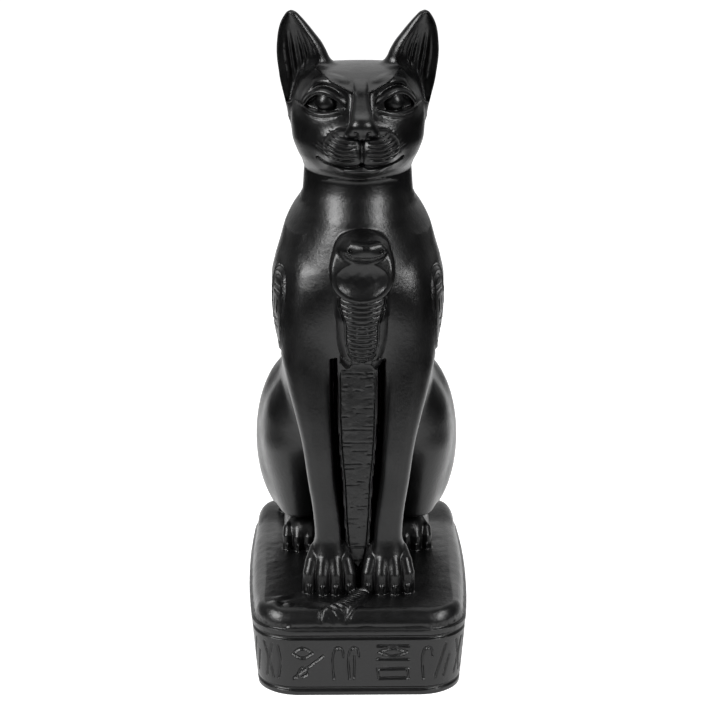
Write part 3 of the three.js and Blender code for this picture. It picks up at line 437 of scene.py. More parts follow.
def ear(p):
    """The ears, with a fluted cup in front that closes towards the tip."""
    x, y, z = p
    c, s = math.cos(EAR_TURN), math.sin(EAR_TURN)
    dx, dy = np.abs(x) - EAR(z, 0), y - EAR(z, 2)
    u, w = c * dx + s * dy, c * dy - s * dx
    wide, deep = EAR(z, 1), EAR(z, 3)

    def oval(u, w, a, b):
        k0 = np.hypot(u / a, w / b) + 1e-6
        return k0 * (k0 - 1) / (np.hypot(u / (a * a), w / (b * b)) + 1e-6)

    shell = within(oval(u, w, wide, deep), z - EAR.high, EAR.low - z)
    room = clamp((259 - z) / 5)
    cup = oval(u - 0.5, w + deep * (1.2 - 0.4 * room), np.maximum(wide - EAR_RIM, 0.4), deep * 1.15)
    flutes = 0.45 * np.cos(u / wide * 27 + 0.3) + 0.15 * np.cos(u / wide * 39)
    flutes = flutes * clamp((252 - z) / 10) * clamp((z - 262 + 1.2 * np.abs(x)) / 5)
    flutes = flutes * clamp((wide - EAR_RIM - 1 - np.abs(u)) / 2)
    cup = np.maximum(cup + flutes, 218 - z)
    return np.where(room > 0, cut(shell, cup, 0.5), shell)


# The foreleg: [z, centre x, half width, front y, back y].
FORELEG = Stations(
    [2, 13.4, 6.4, -48, -33],
    [16, 13.4, 6.4, -47.8, -33],
    [27, 13.6, 6.2, -47.4, -33],
    [38, 14.6, 6.1, -47.2, -33],
    [52, 16.6, 6.3, -47.2, -32],
    [68, 18.2, 7.0, -47.6, -30],
    [80, 19.8, 8.0, -47.6, -28],
    [95, 21.8, 9.7, -47.2, -25],
    [108, 22.8, 11, -46.4, -22],
    [120, 23.2, 10.6, -44.8, -18],
    [134, 22.8, 9.4, -43.6, -14],
    [147, 22, 7.8, -40, -10],
    [158, 21, 5, -29, -8],
)
PAW_PLACE = (13.4, -40.9, 6)
PAW_HALVES = (11.2, 10, 18)


def foreleg(p):
    x, y, z = p
    q = (np.abs(x), y, z)
    half = FORELEG(z, 1)
    front, back = FORELEG(z, 2), FORELEG(z, 3)
    deep = (back - front) / 2
    px = np.abs(np.abs(x) - FORELEG(z, 0)) / half
    py = np.abs(y - (front + back) / 2) / deep
    power = 2.7 - 0.7 * clamp((z - 80) / 30) + np.where(np.abs(x) < FORELEG(z, 0), 1.4, 0)
    k = (px**power + py**power) ** (1 / power) + 1e-6
    slope = np.hypot((px / k) ** (power - 1) / half, (py / k) ** (power - 1) / deep) + 1e-6
    upper = within((k - 1) / slope, FORELEG.low - z, z - FORELEG.high)
    return join(upper, ellipsoid(q, PAW_PLACE, PAW_HALVES), 3.6)


def toes(p, path, centre, spread, radius, claw):
    """Four toes in a fan with a claw each, along a path of (share of the spread, y, z)."""
    x, y, z = p
    q = (np.abs(x), y, z)
    found = []
    for place in (-1.5, -0.5, 0.5, 1.5):
        drop = place * place * 0.45
        aside = place * spread
        points = [(centre + aside * t, back + drop * 2 * t, up - drop * (1 - t)) for t, back, up in path]
        toe = limb(q, points, [radius * (0.8 if i == 0 else 1) for i in range(len(path))])
        tip = points[-1]
        base = (tip[0], tip[1] - radius * 0.86, tip[2] + claw * 0.9)
        nail = limb(q, [base, (tip[0], base[1] - 0.5, tip[2] - claw * 0.8)], (claw * 0.62, claw * 0.26))
        found.append(join(toe, nail, 0.25))
    return either(*found)


def front_toes(p):
    path = [(0.7, -42.6, 19), (0.84, -47.3, 14.6), (0.98, -49.8, 9), (1, -50, 2.4)]
    return toes(p, path, centre=13.3, spread=6, radius=3.2, claw=1.9)


def hind_toes(p):
    path = [(0.75, 11, 11), (0.96, 6, 9.4), (1, 3.6, 6.4), (1, 3.4, 1.8)]
    return toes(p, path, centre=25.2, spread=5.1, radius=2.6, claw=1.5)


def haunch(p):
    """The folded hind leg, cut off above its foot."""
    x, y, z = p
    q = (np.abs(x), y, z)
    thigh = ellipsoid(q, (25.8, 33, 48), (22.3, 33, 43.5), 0.12)
    knee = ellipsoid(q, (30.6, 9.5, 61), (11.8, 14, 23), 0.15)
    shank = rod(q, (31, 9, 52), (26.6, 13, 20), 9.6, 9.4, 1.2)
    under = z - 16.8 + np.maximum(y - 24, 0) * 0.5
    foot = limb(q, [(25.2, 11.5, 6), (26, 28, 6.5), (26.5, 50, 7)], (9.4, 9, 8))
    return join(cut(join(join(thigh, knee, 9), shank, 6), under, 0.8), foot, 0.8)


def tail(p):
    points = [(-2, 62, 12), (-12, 65, 6), (-22, 63.6, 4.6), (-30, 58.6, 4.4), (-34, 51.4, 4.2)]
    return limb(p, points, (5.4, 5.2, 4.8, 4.4, 4))


# The stone between the forelegs and the panel in front of it: [z, half width].
WEB = Stations([0, 13.5], [40, 15], [80, 19], [120, 24])
WEB_FRONT = -36
WEB_BACK = 20
WEB_TOP = 116
FLANGE_FRONT = -43.5
FLANGE_START = 10.5
PANEL = Stations([5, 0.6], [14, 4.6], [28, 6], [51, 7.1], [62, 8.1], [74, 8.8], [90, 9.1], [112, 9.2])
PANEL_SHIFT = -0.4
PANEL_FRONT = -41
PANEL_BACK = -26
SLIT_TOP = 109.5
SLIT_FOOT = 22
SLIT_BACK = -16
SLIT_WIDEST = 12.3


def slit(p):
    """The narrow dark gap, as a wedge, between a foreleg and the panel."""
    x, y, z = p
    x = np.abs(x - PANEL_SHIFT)
    inner = PANEL(z)
    outer = np.minimum(FORELEG(z, 0) - FORELEG(z, 1) + 0.4, SLIT_WIDEST)
    half = (outer - inner) / 2 * clamp((SLIT_BACK - y) / 25)
    sides = np.abs(x - (inner + outer) / 2) - half
    return within(sides, y - SLIT_BACK, z - SLIT_TOP, SLIT_FOOT - z)


def web(p):
    """The stone behind the panel, and the flange that runs from it along the inner side of each foreleg."""
    x, y, z = p
    flange = (np.abs(x - PANEL_SHIFT) > np.minimum(FLANGE_START, PANEL(z) + 0.8)) & (z > SLIT_FOOT)
    front = np.where(flange, FLANGE_FRONT, WEB_FRONT)
    return within(np.abs(x) - WEB(z), front - y, y - WEB_BACK, z - WEB_TOP, -2 - z)


def panel(p):
    """The flat panel between the forelegs: a thin rim, a groove inside it and worn level strokes."""
    x, y, z = p
    x = x - PANEL_SHIFT
    half = PANEL(z)
    edge = half - np.abs(x)
    wave = np.sin(z * 3.1 + 1.6 * noise(x * 0.2, z * 0.22, z * 0, 5))
    strength = clamp(0.15 + 0.9 * clamp(1.3 - edge / half * 2.2) + 0.8 * noise(x * 0.3, z * 0.5, z * 0, 6))
    strokes = 0.22 * clamp(wave) * strength * clamp((edge - 1.4) / 0.5)
    groove = 0.85 * bump((edge - 1.05) / 0.8) * clamp((SLIT_TOP - 3 - z) / 3)
    face = PANEL_FRONT - y + strokes + groove
    return within(-edge, face, y - PANEL_BACK, z - PANEL.high, 4 - z)


# The cobra's scutes: [z, half width]. Its body and hood stand a little to one side, its snout more so.
RIB_WIDTH = Stations(
    [109.2, 0.2],
    [110.2, 3.6],
    [112.5, 5.3],
    [116, 6.4],
    [120, 7],
    [127, 7],
    [132, 8.4],
    [136, 9.6],
    [139, 10],
)
RIB_SPACING = 2.25
RIB_START = 108.6
RIB_FOOT = 108.4
COBRA_SHIFT = 1.4
SNOUT_SHIFT = 1.6
HOOD_MIDDLE = 150.4
HOOD_HALF = 13.7


def scutes(x, z):
    """The height of the cobra's level scutes, of the groove beside them and of the line beside that."""
    low = z - (0.022 + 0.04 * clamp((116 - z) / 6)) * x * x
    width = RIB_WIDTH(z)
    phase = np.mod(low - RIB_START, RIB_SPACING) / RIB_SPACING * 2 - 1
    ribs = 1.15 * np.sqrt(clamp(1 - phase * phase)) - 0.65
    height = ribs * clamp((width - np.abs(x)) / 0.5) * clamp((low - RIB_FOOT) / 0.6)
    height -= 0.8 * bump((np.abs(x) - width - 0.3) / 0.8)
    height -= 0.6 * bump((np.abs(x) - width - 4.6) / 0.6) * clamp((136 - z) / 2)
    return height


def hood(x, y, z):
    """The hood's disc, taller above its middle than below, with a face that leans back towards its top."""
    upper = z > HOOD_MIDDLE
    power = np.where(upper, 2.0, 2.3)
    tall = np.where(upper, 18.6, 12.5)
    across = ((np.abs(x) / HOOD_HALF) ** power + (np.abs(z - HOOD_MIDDLE) / tall) ** power) ** (1 / power)
    face = y + 56.4 - 0.008 * x * x - 0.032 * np.maximum(z - 149, 0) ** 2
    return within(cut((across - 1) * 12.8, face, 1.4), y + 38)


def snout(x, y, z, d):
    """The cobra with its snout, brow ridges, eyes and mouth."""
    half = (np.abs(x), y, z)
    jaws = ellipsoid((x, y, z), (0, -54.4, 161), (8.4, 5.4, 4.2))
    ridges = rod(half, (1, -57.6, 162.6), (5.6, -56, 163.4), 2.6, 2.2)
    eyes = ellipsoid(half, (6.8, -55, 161.8), (2.5, 2.8, 2.4))
    pupils = ellipsoid(half, (6.9, -58, 161.8), (1, 1.4, 1))
    d = cut(join(join(join(d, jaws, 2.2), ridges, 1), eyes, 1), pupils, 0.4)
    return d + 0.5 * bump((z - 158.6 - 0.02 * x * x) / 0.7) * clamp((9 - np.abs(x)) / 2) * (y < -52)


def cobra(p):
    """The cobra that hangs down the chest, its hood with a bowl in front and its head above."""
    world_x, y, z = p
    x = world_x - COBRA_SHIFT
    q = (x, y, z)
    points = [(0, -38.5, 113), (0, -42, 122), (0, -44, 131), (0, -43.5, 150)]
    d = limb(q, points, (11.8, 12.6, 13.1, 13.1), 0.9)
    foot = 107.6 - 3.6 * bump((np.abs(x) - 6.4) / 3.2)
    d = cut(d, z - foot, 0.8)
    d = d - np.where((y < -44) & (z < 139.5), scutes(x, z), 0)
    nape = ellipsoid(q, (0, -48.6, 161.4), (11.2, 9.8, 7.5))
    d = join(join(d, hood(x, y, z), 0.8), nape, 2.4)
    bowl = ellipsoid(q, (0, -72, 148.6), (23.4, 19, 15.4)) + 0.07 * noise(x * 0.7, y * 0.2, z * 0.7, 3)
    bowl += 0.3 * bump(np.hypot((x - 1.6) / 1.3, (z - 152.6) / 2.6))
    return snout(x - SNOUT_SHIFT, y, z, cut(d, bowl, 0.22))


# The oval frames on the shoulders, and plain marks in place of the writing in them: [y, z] from the centre.
FRAME_PLACE = (-29.5, 128.6)
FRAME_HALVES = (9.4, 18.8)
FRAME_POWER = 2.5
FRAME_MARKS = [
    [(-3.4, 10.5), (3.4, 10.5)],
    [(-3.4, 7.8), (3.4, 7.8)],
    [(-2.4, 4.6), (-2.4, -0.6)],
    [(2.2, 4.8), (2.2, -0.8)],
    [(-3.2, -3.4), (0, -4.6), (3.2, -3.4)],
    [(-3, -7.4), (3, -7.4)],
    [(0, -9.4), (0, -12.2)],
]


def shoulder_frames(p):
    """The raised oval frames and their marks, as a height above the body."""
    x, y, z = p
    u, v = y - FRAME_PLACE[0], z - FRAME_PLACE[1]
    across, up = np.abs(u / FRAME_HALVES[0]), np.abs(v / FRAME_HALVES[1])
    r = (across**FRAME_POWER + up**FRAME_POWER) ** (1 / FRAME_POWER)
    height = 0.5 * bump((r - 0.93) / 0.07) - 0.5 * bump((r - 1.03) / 0.06) - 0.6 * bump((r - 0.82) / 0.06)
    for line in FRAME_MARKS:
        height = height - ridge(u, v, line, 0.5, 0.8)
    return height * (np.abs(x) > 25)


def plan(x, y, side, end):
    """Distance in plan to the plinth's outline, moved in at the long sides and at the ends."""
    from_widest = (y - PLINTH_WIDEST) / (PLINTH_LENGTH / 2 + PLINTH_WIDEST)
    half = PLINTH_WIDTH / 2 + PLINTH_BULGE * (1 - from_widest**2)
    dx = np.abs(x) - half + side + PLINTH_CORNER
    dy = np.abs(y) - PLINTH_LENGTH / 2 + end + PLINTH_CORNER
    return rounded(dx, dy, PLINTH_CORNER)


BAND_REPEATS = 5
BAND_START = -45


def band_strokes():
    """Strokes around the band: plain groups of upright, level and slanting marks that aren't letters."""
    quarter = PLINTH_WIDTH / 2 + PLINTH_LENGTH / 2 - 2 * PLINTH_CORNER + math.pi / 2 * PLINTH_CORNER
    middle = FOOT_HEIGHT + BAND_HEIGHT / 2 + 0.5
    lens = [curve([(0, 4.6), (4.6, 4.6 + bow), (9.2, 4.6)]) for bow in (2.6, -2.4)]
    wide_lens = [curve([(0.6, 5), (7, 5 + bow), (13.4, 5)]) for bow in (2, -2)]
    hook = curve([(0.6, -8), (0, 2), (1.6, 7), (4.2, 6.4), (4.8, 3)])
    groups = [
        (0, [curve([(0.8, -8), (2.4, 0), (0.4, 8)]), curve([(5, -8), (3.4, 0), (5, 8)])]),
        (8, [curve([(0, -8), (1.2, 0), (0, 7.6)])]),
        (15, lens + [[(0.6, -7.6), (14, 3.4)]]),
        (17, [curve([(0, -7.4), (1.8, -3), (4.4, -2.6), (5, -5.4), (2.6, -7)])]),
        (33, [hook]),
        (40, [hook, [(2.6, -7.6), (2.8, 3)]]),
        (53, wide_lens + [[(0, 8), (14, 8)], [(0, 1.6), (14, 1.4)]]),
        (53, [[(0, -3.4), (14, -3)], [(0.6, -8), (14, -7.6)]]),
        (53, [[(0, -3), (0.6, -8)], [(13.4, -3), (14, -8)]]),
        (73, [hook]),
        (79, [[(0.4, -7.8), (5.6, 7.8)], [(5, -7.8), (8, 2.4)]]),
    ]
    strokes = []
    for turn in range(BAND_REPEATS):
        start = quarter + BAND_START + turn * 4 * quarter / BAND_REPEATS
        for at, group in groups:
            base = (start + at) % (4 * quarter)
            strokes += [[(base + u, middle + v) for u, v in line] for line in group]
    return strokes


def way_round(x, y):
    """How far along the band points are, from the middle of the left side past the front."""
    half_x, half_y = PLINTH_WIDTH / 2 - PLINTH_CORNER, PLINTH_LENGTH / 2 - PLINTH_CORNER
    arc = math.pi / 2 * PLINTH_CORNER
    dx, dy = np.abs(x) - half_x, np.abs(y) - half_y
    angle = np.arctan2(np.maximum(dy, 1e-6), np.maximum(dx, 1e-6))
    # A quarter runs from the middle of the front, round the corner, to the middle of the side.
    flat = np.where(dx < 0, np.abs(x), half_x)
    bent = (math.pi / 2 - angle) * PLINTH_CORNER
    turn = np.where((dx >= 0) & (dy >= 0), bent, np.where(dx < 0, 0, arc))
    along = np.where((dx >= 0) & (dy < 0), half_y - np.abs(y), 0)
    quarter = flat + turn + along
    whole = half_x + arc + half_y
    right, front = x >= 0, y < 0
    ahead = np.where(right, whole + quarter, whole - quarter)
    behind = np.where(right, 3 * whole - quarter, 3 * whole + quarter)
    return np.where(front, ahead, behind)


# The band is split into lengths, each with the strokes that reach into it.
STROKE_CELL = 12.0
STROKE_GRID = {}
for stroke in band_strokes():
    first = min(u for u, _ in stroke) - 1
    last = max(u for u, _ in stroke) + 1
    for cell in range(int(first // STROKE_CELL), int(last // STROKE_CELL) + 1):
        STROKE_GRID.setdefault(cell, []).append(stroke)


def band_relief(x, y, z):
    """The depth of the strokes cut in the plinth's band."""
    around = way_round(x, y)
    depth = np.zeros(np.shape(x), np.float32)
    cells = np.floor(around / STROKE_CELL).astype(int)
    for cell in np.unique(cells):
        here = cells == cell
        for stroke in STROKE_GRID.get(int(cell), ()):
            depth[here] = np.maximum(depth[here], ridge(around[here], z[here], stroke, 0.8, 0.85))
    return depth


def cushion_top(x, y, inside):
    """The height of the cushion, which rises from its edge over a slope that is widest in front."""
    slope = CUSHION_SLOPE + CUSHION_SPREAD * (y + PLINTH_LENGTH / 2 - 4)
    slope = clamp(slope, CUSHION_SLOPE, CUSHION_WIDEST)
    ahead = clamp((PLINTH_CORNER - 2 - y - PLINTH_LENGTH / 2) / 12)
    ahead = ahead * clamp((PLINTH_WIDTH / 2 - 2 - np.abs(x)) / 12)
    slope = slope + (CUSHION_FRONT_SLOPE - CUSHION_SLOPE) * ahead
    rise = clamp(inside / slope)
    dish = CUSHION_DISH * clamp((inside - slope) / 14)
    return RIM_TOP + CUSHION_HEIGHT * np.sin(rise * math.pi / 2) ** 0.5 - dish + cushion_relief(x, y)


def plinth(p):
    """The foot, the band between two grooves, the rolled rim and the cushion."""
    x, y, z = p
    lean = 1 - z / BAND_TOP
    wall = plan(x, y, PLINTH_DRAFT * lean + RIM_PROUD, PLINTH_RAKE * lean + RIM_PROUD)
    block = within(wall, -z, z - RIM_TOP + 1)
    roll = RIM_HEIGHT / 2
    rim = np.hypot(np.maximum(plan(x, y, roll, roll), 0), z - BAND_TOP - roll) - roll
    inner = plan(x, y, 0, 0) + CUSHION_INSET
    cushion = within((z - cushion_top(x, y, -inner)) * 0.75, inner, BAND_TOP + roll - z)
    d = join(join(block, rim, 0.4), cushion, 0.3)
    for level in (FOOT_HEIGHT, BAND_TOP):
        low = 1 - level / BAND_TOP
        line = plan(x, y, PLINTH_DRAFT * low + RIM_PROUD, PLINTH_RAKE * (RIM_PROUD + low) + RIM_PROUD)
        d = cut(d, np.hypot(line, z - level) - GROOVE_RADIUS, 0.4)
    near = (np.abs(wall) < 2.5) & (z > FOOT_HEIGHT) & (z < BAND_TOP)
    if near.any():
        d[near] += band_relief(x[near], y[near], z[near])
    return d


# The cobra's tail on the cushion, and the cushion's hollows and humps: (height, x, y, half x, half y).
TAIL_PATH = [(1.5, -48), (-0.6, -55), (-4.2, -62), (-8.8, -67.6), (-12, -71)]
TAIL_HALF = 4.7
TAIL_HEIGHT = 2.5
DENTS = [
    (-1.6, -19, -64, 9, 4.4),
    (-0.6, -29.5, -53, 7, 6),
    (0.9, -37.5, -62, 4, 4.4),
    (0.6, -31.5, -64, 3, 3.2),
]


def cushion_relief(x, y):
    """The folds in the cushion's top and the cobra's tail that lies on it."""
    gap = line_gap(x, y, TAIL_PATH)
    along = (x * -0.5 + y * -0.86) * 2.8
    body = np.sqrt(clamp(1 - (gap / TAIL_HALF) ** 2)) * clamp((y + PLINTH_LENGTH / 2 - 1) / 3)
    height = TAIL_HEIGHT * body - 0.4 * bump((gap - 5.4) / 1.2)
    height = height - 0.9 * bump(gap / 4.8) * (0.5 + 0.5 * np.sin(along))
    for rise, at_x, at_y, half_x, half_y in DENTS:
        height = height + rise * bump(np.hypot((x - at_x) / half_x, (y - at_y) / half_y))
    height = height + CUSHION_HUMP * bump(np.hypot((np.abs(x) - 42) / 16, (y - 57) / 19))
    folds = 0.3 * np.sin((x * 0.55 - y * 0.9) * 0.9) * bump(np.hypot((x + 34) / 8, (y + 56) / 9))
    wear = 0.1 * noise(x * 0.12, y * 0.12, x * 0, 8) + 0.05 * noise(x * 0.4, y * 0.4, y * 0, 9)
    return height + folds + wear


def scratches(p):
    """Fine knocks and tool marks all over, in millimetres."""
    x, y, z = p
    return 0.016 * noise(x * 0.24, y * 0.24, z * 0.2, 21) + 0.014 * noise(x * 0.8, y * 0.8, z * 0.7, 22)


# Each form with its blend and the box it can reach, as (low, high) in modules.
FORMS = [
    (torso, 1, ((-46, -56, -4), (46, 70, 206))),
    (haunch, 6, ((-56, -14, -4), (56, 76, 104))),
    (foreleg, 9, ((-50, -68, -10), (50, 8, 168))),
    (web, 2, ((-28, -48, -4), (28, 24, 120))),
    (panel, 0.8, ((-12, -44, 2), (12, -22, 116))),
    (slit, 0.6, ((-14, -56, 20), (14, -14, 110))),
    (front_toes, 0.7, ((-28, -60, -4), (28, -38, 22))),
    (hind_toes, 0.7, ((-36, -4, -4), (36, 18, 18))),
    (head, 4, ((-38, -68, 182), (38, 20, 246))),
    (ear, 4.5, ((-42, -36, 206), (42, 8, 264))),
    (cobra, 1, ((-20, -68, 88), (22, -28, 174))),
    (tail, 1.5, ((-54, 22, -8), (10, 78, 24))),
]
FRAME_BOX = ((-46, -42, 106), (46, -17, 150))
PLINTH_BOX = ((-60, -80, -4), (60, 80, CUSHION_TOP + 6))
# The bits of a number say which forms are active, and these two the plinth and the oval frames.
PLINTH_BIT = 1 << len(FORMS)
FRAME_BIT = 2 << len(FORMS)
FAR_OUT = 50


def in_modules(x, y, z):
    """A point of the model on the figure's own axes."""
    return (x / MODULE, y / MODULE, (z - SEAT) / MODULE)


def sculpture(p, active):
    """The whole field in millimetres, from the forms that are active there."""
    x, y, z = p
    q = in_modules(x, y, z)
    d = None
    for i, (form, blend, _) in enumerate(FORMS):
        if not active >> i & 1:
            continue
        found = form(q).astype(np.float32)
        if form is not slit:
            d = found if d is None else join(d, found, blend)
        elif d is not None:
            d = cut(d, found, blend)
    if active & FRAME_BIT:
        d = d - shoulder_frames(q)
    if d is not None:
        d = d * MODULE
    if active & PLINTH_BIT:
        base = plinth(p)
        d = base if d is None else join(base, d, 1)
    if d is None:
        return np.full(np.shape(x), FAR_OUT, np.float32)
    worn = d - scratches(p) * clamp(z / 2)
    return np.maximum(worn, -z).astype(np.float32)


def overlaps(low, high, box):
    return all(low[i] < box[1][i] and high[i] > box[0][i] for i in range(3))


def active_forms(low, high):
    """Which forms reach a box of the model, as the bits of a number."""
    figure_low, figure_high = in_modules(*low), in_modules(*high)
    bits = sum(1 << i for i, form in enumerate(FORMS) if overlaps(figure_low, figure_high, form[2]))
    if overlaps(low, high, PLINTH_BOX):
        bits |= PLINTH_BIT
    if overlaps(figure_low, figure_high, FRAME_BOX):
        bits |= FRAME_BIT
    return bits


# The grid reaches this far past the solid's box. A block whose middle is far from the surface gets one
# value, and the others are worked out in batches.
GRID_MARGIN = 2
HALF_DIAGONAL = 0.87
SAFETY = 7
FAR = 20
BATCH = 60


def area(index):
    """The points of a block, with those that it shares with its neighbours."""
    return tuple(slice(n * BLOCK, (n + 1) * BLOCK + 1) for n in index)


def sample():
    """The field's values on a grid of points, exact near the surface and only signed elsewhere."""
    low = np.array([LOW[0] - GRID_MARGIN, LOW[1] - GRID_MARGIN, -CELL * 1.5])
    size = HIGH + GRID_MARGIN - low
    span = CELL * BLOCK
    blocks = np.ceil(size / span).astype(int)
    values = np.full(blocks * BLOCK + 1, FAR, np.float32)
    groups = {}
    for index in np.ndindex(*blocks):
        corner = low + np.array(index) * span
        bits = active_forms(corner - 0.1, corner + span + 0.1)
        groups.setdefault(bits, []).append(index)
    side = BLOCK + 1
    steps = np.arange(side) * CELL
    lattice = np.stack(np.meshgrid(steps, steps, steps, indexing="ij"), -1).reshape(-1, 3)
    reach = span * HALF_DIAGONAL + SAFETY
    for bits, members in groups.items():
        if bits == 0:
            continue
        corners = low + np.array(members) * span
        centres = corners + span / 2
        found = sculpture(tuple(centres.T.astype(np.float32)), bits)
        for index, value in zip(members, found):
            if value < -reach:
                values[area(index)] = -FAR
        near = [n for n, value in enumerate(found) if abs(value) <= reach]
        for start in range(0, len(near), BATCH):
            batch = near[start : start + BATCH]
            points = (corners[batch][:, None] + lattice).reshape(-1, 3).T.astype(np.float32, order="C")
            result = sculpture(tuple(points), bits).reshape(-1, side, side, side)
            for n, block in zip(batch, result):
                values[area(members[n])] = block
    return low, values


CORNERS = [(i, j, k) for i in (0, 1) for j in (0, 1) for k in (0, 1)]
# A point goes down the slope in so many steps of this share of the way, and keeps off its cell's sides.
SETTLE_STEPS = 3
SETTLE_SHARE = 0.8
CELL_SIDE = 0.02


def settle(held):
    """The surface's point in each cell, from the middle of its crossed edges and then down the slope."""
    total = np.zeros((len(held), 3))
    count = np.zeros(len(held))
    for a, corner in enumerate(CORNERS):
        for axis, stride in enumerate((4, 2, 1)):
            if a & stride:
                continue
            b = a | stride
            va, vb = held[:, a], held[:, b]
            crossed = (va < 0) != (vb < 0)
            t = np.where(crossed, va / np.where(crossed, va - vb, 1), 0)
            place = np.tile(np.array(corner, float), (len(held), 1))
            place[:, axis] += t
            total += place * crossed[:, None]
            count += crossed
    place = total / count[:, None]
    for _ in range(SETTLE_STEPS):
        weights = [np.stack([1 - place[:, n], place[:, n]], 1) for n in range(3)]
        value = np.zeros(len(held))
        slope = np.zeros((len(held), 3))
        for n, (i, j, k) in enumerate(CORNERS):
            wi, wj, wk = weights[0][:, i], weights[1][:, j], weights[2][:, k]
            value += held[:, n] * wi * wj * wk
            slope[:, 0] += held[:, n] * (1 if i else -1) * wj * wk
            slope[:, 1] += held[:, n] * (1 if j else -1) * wi * wk
            slope[:, 2] += held[:, n] * (1 if k else -1) * wi * wj
        square = (slope**2).sum(1) + 1e-9
        place = place - SETTLE_SHARE * (value / square)[:, None] * slope
        place = np.clip(place, CELL_SIDE, 1 - CELL_SIDE)
    return place


def draw_off(low, values):
    """The surface where the values change sign, as points and four-sided faces."""
    inside = values < 0
    shape = np.array(values.shape)
    mixed = np.zeros(shape - 1, bool)
    first = inside[:-1, :-1, :-1]
    for i, j, k in CORNERS[1:]:
        mixed |= first != inside[i : shape[0] - 1 + i, j : shape[1] - 1 + j, k : shape[2] - 1 + k]
    cells = np.argwhere(mixed)
    held = np.stack([values[cells[:, 0] + i, cells[:, 1] + j, cells[:, 2] + k] for i, j, k in CORNERS], 1)
    points = low + (cells + settle(held)) * CELL
    flat = np.ravel_multi_index(cells.T, mixed.shape)
    faces = []
    for axis in range(3):
        crossed = np.argwhere(np.diff(inside, axis=axis))
        starts_in = inside[tuple(crossed.T)]
        b, c = (axis + 1) % 3, (axis + 2) % 3
        keep = (crossed[:, b] > 0) & (crossed[:, c] > 0)
        keep &= (crossed[:, b] < mixed.shape[b]) & (crossed[:, c] < mixed.shape[c])
        crossed, starts_in = crossed[keep], starts_in[keep]
        ring = []
        for back_b, back_c in ((0, 0), (1, 0), (1, 1), (0, 1)):
            cell = crossed.copy()
            cell[:, b] -= back_b
            cell[:, c] -= back_c
            ring.append(np.searchsorted(flat, np.ravel_multi_index(cell.T, mixed.shape)))
        ring = np.stack(ring, 1)
        ring[~starts_in] = ring[~starts_in][:, ::-1]
        faces.append(ring)
    return points, np.concatenate(faces)


def main_part(points, faces):
    """The largest connected part of a mesh, without the specks where two forms just touch."""
    sides = faces.shape[1]
    links = np.concatenate([faces[:, [side, (side + 1) % sides]] for side in range(sides)])
    label = np.arange(len(points))
    while True:
        lowest = label.copy()
        np.minimum.at(lowest, links[:, 0], label[links[:, 1]])
        np.minimum.at(lowest, links[:, 1], label[links[:, 0]])
        lowest = lowest[lowest]
        if np.array_equal(lowest, label):
            break
        label = lowest
    largest = np.bincount(label[faces[:, 0]]).argmax()
    used = label == largest
    renumbered = np.cumsum(used) - 1
    return points[used], renumbered[faces[used[faces[:, 0]]]]


def new_object(name, data):
    """An object of the scene with these data."""
    thing = bpy.data.objects.new(name, data)
    bpy.context.scene.collection.objects.link(thing)
    return thing


def mesh_from(name, points, faces):
    mesh = bpy.data.meshes.new(name)
    sides = faces.shape[1]
    mesh.vertices.add(len(points))
    mesh.vertices.foreach_set("co", (points * 0.001).astype(np.float32).ravel())
    mesh.loops.add(faces.size)
    mesh.loops.foreach_set("vertex_index", faces.astype(np.int32).ravel())
    mesh.polygons.add(len(faces))
    mesh.polygons.foreach_set("loop_start", np.arange(len(faces), dtype=np.int32) * sides)
    mesh.polygons.foreach_set("loop_total", np.full(len(faces), sides, np.int32))
    mesh.update(calc_edges=True)
    mesh.validate()
    return new_object(name, mesh)


def lighten(piece, triangles):
    """Draws the mesh's cheapest edges together until it has this many triangles."""
    present = 2 * len(piece.data.polygons)
    if present <= triangles:
        return
    modifier = piece.modifiers.new("lighten", "DECIMATE")
    modifier.ratio = triangles / present
    modifier.use_collapse_triangulate = True
    evaluated = piece.evaluated_get(bpy.context.evaluated_depsgraph_get())
    mesh = bpy.data.meshes.new_from_object(evaluated)
    piece.modifiers.clear()
    old = piece.data
    piece.data = mesh
    bpy.data.meshes.remove(old)


# Normals come from the field this far to each side of a point, and are worked out by cubes of this size.
NORMAL_STEP = 0.22
NORMAL_GRID = 16.0


def smooth(piece):
    """Shades the mesh with the field's own directions, which keeps fine carving."""
    mesh = piece.data
    mesh.polygons.foreach_set("use_smooth", np.ones(len(mesh.polygons), bool))
    points = np.zeros(len(mesh.vertices) * 3, np.float32)
    mesh.vertices.foreach_get("co", points)
    points = points.reshape(-1, 3) * 1000
    normals = np.zeros_like(points)
    keys = np.floor(points / NORMAL_GRID).astype(int)
    order = np.lexsort(keys.T)
    edges = np.flatnonzero(np.any(np.diff(keys[order], axis=0), axis=1)) + 1
    groups = {}
    for members in np.split(order, edges):
        low = keys[members[0]] * NORMAL_GRID
        groups.setdefault(active_forms(low - 1, low + NORMAL_GRID + 1), []).append(members)
    for bits, parts in groups.items():
        members = np.concatenate(parts)
        here = points[members]
        for axis, offset in enumerate(np.eye(3, dtype=np.float32) * NORMAL_STEP):
            ahead = sculpture(tuple((here + offset).T), bits)
            behind = sculpture(tuple((here - offset).T), bits)
            normals[members, axis] = ahead - behind
    length = np.linalg.norm(normals, axis=1, keepdims=True)
    flat = points[:, 2] < 0.02
    normals = np.where(length > 1e-6, normals / np.maximum(length, 1e-6), (0, 0, 1))
    normals[flat] = (0, 0, -1)
    mesh.normals_split_custom_set_from_vertices(normals.astype(float))


def add_node(tree, kind, values, sources):
    """A node with some of its inputs set and some linked from other nodes."""
    node = tree.nodes.new(kind)
    for name, value in values.items():
        node.inputs[name].default_value = value
    for name, source in sources.items():
        tree.links.new(source, node.inputs[name])
    return node


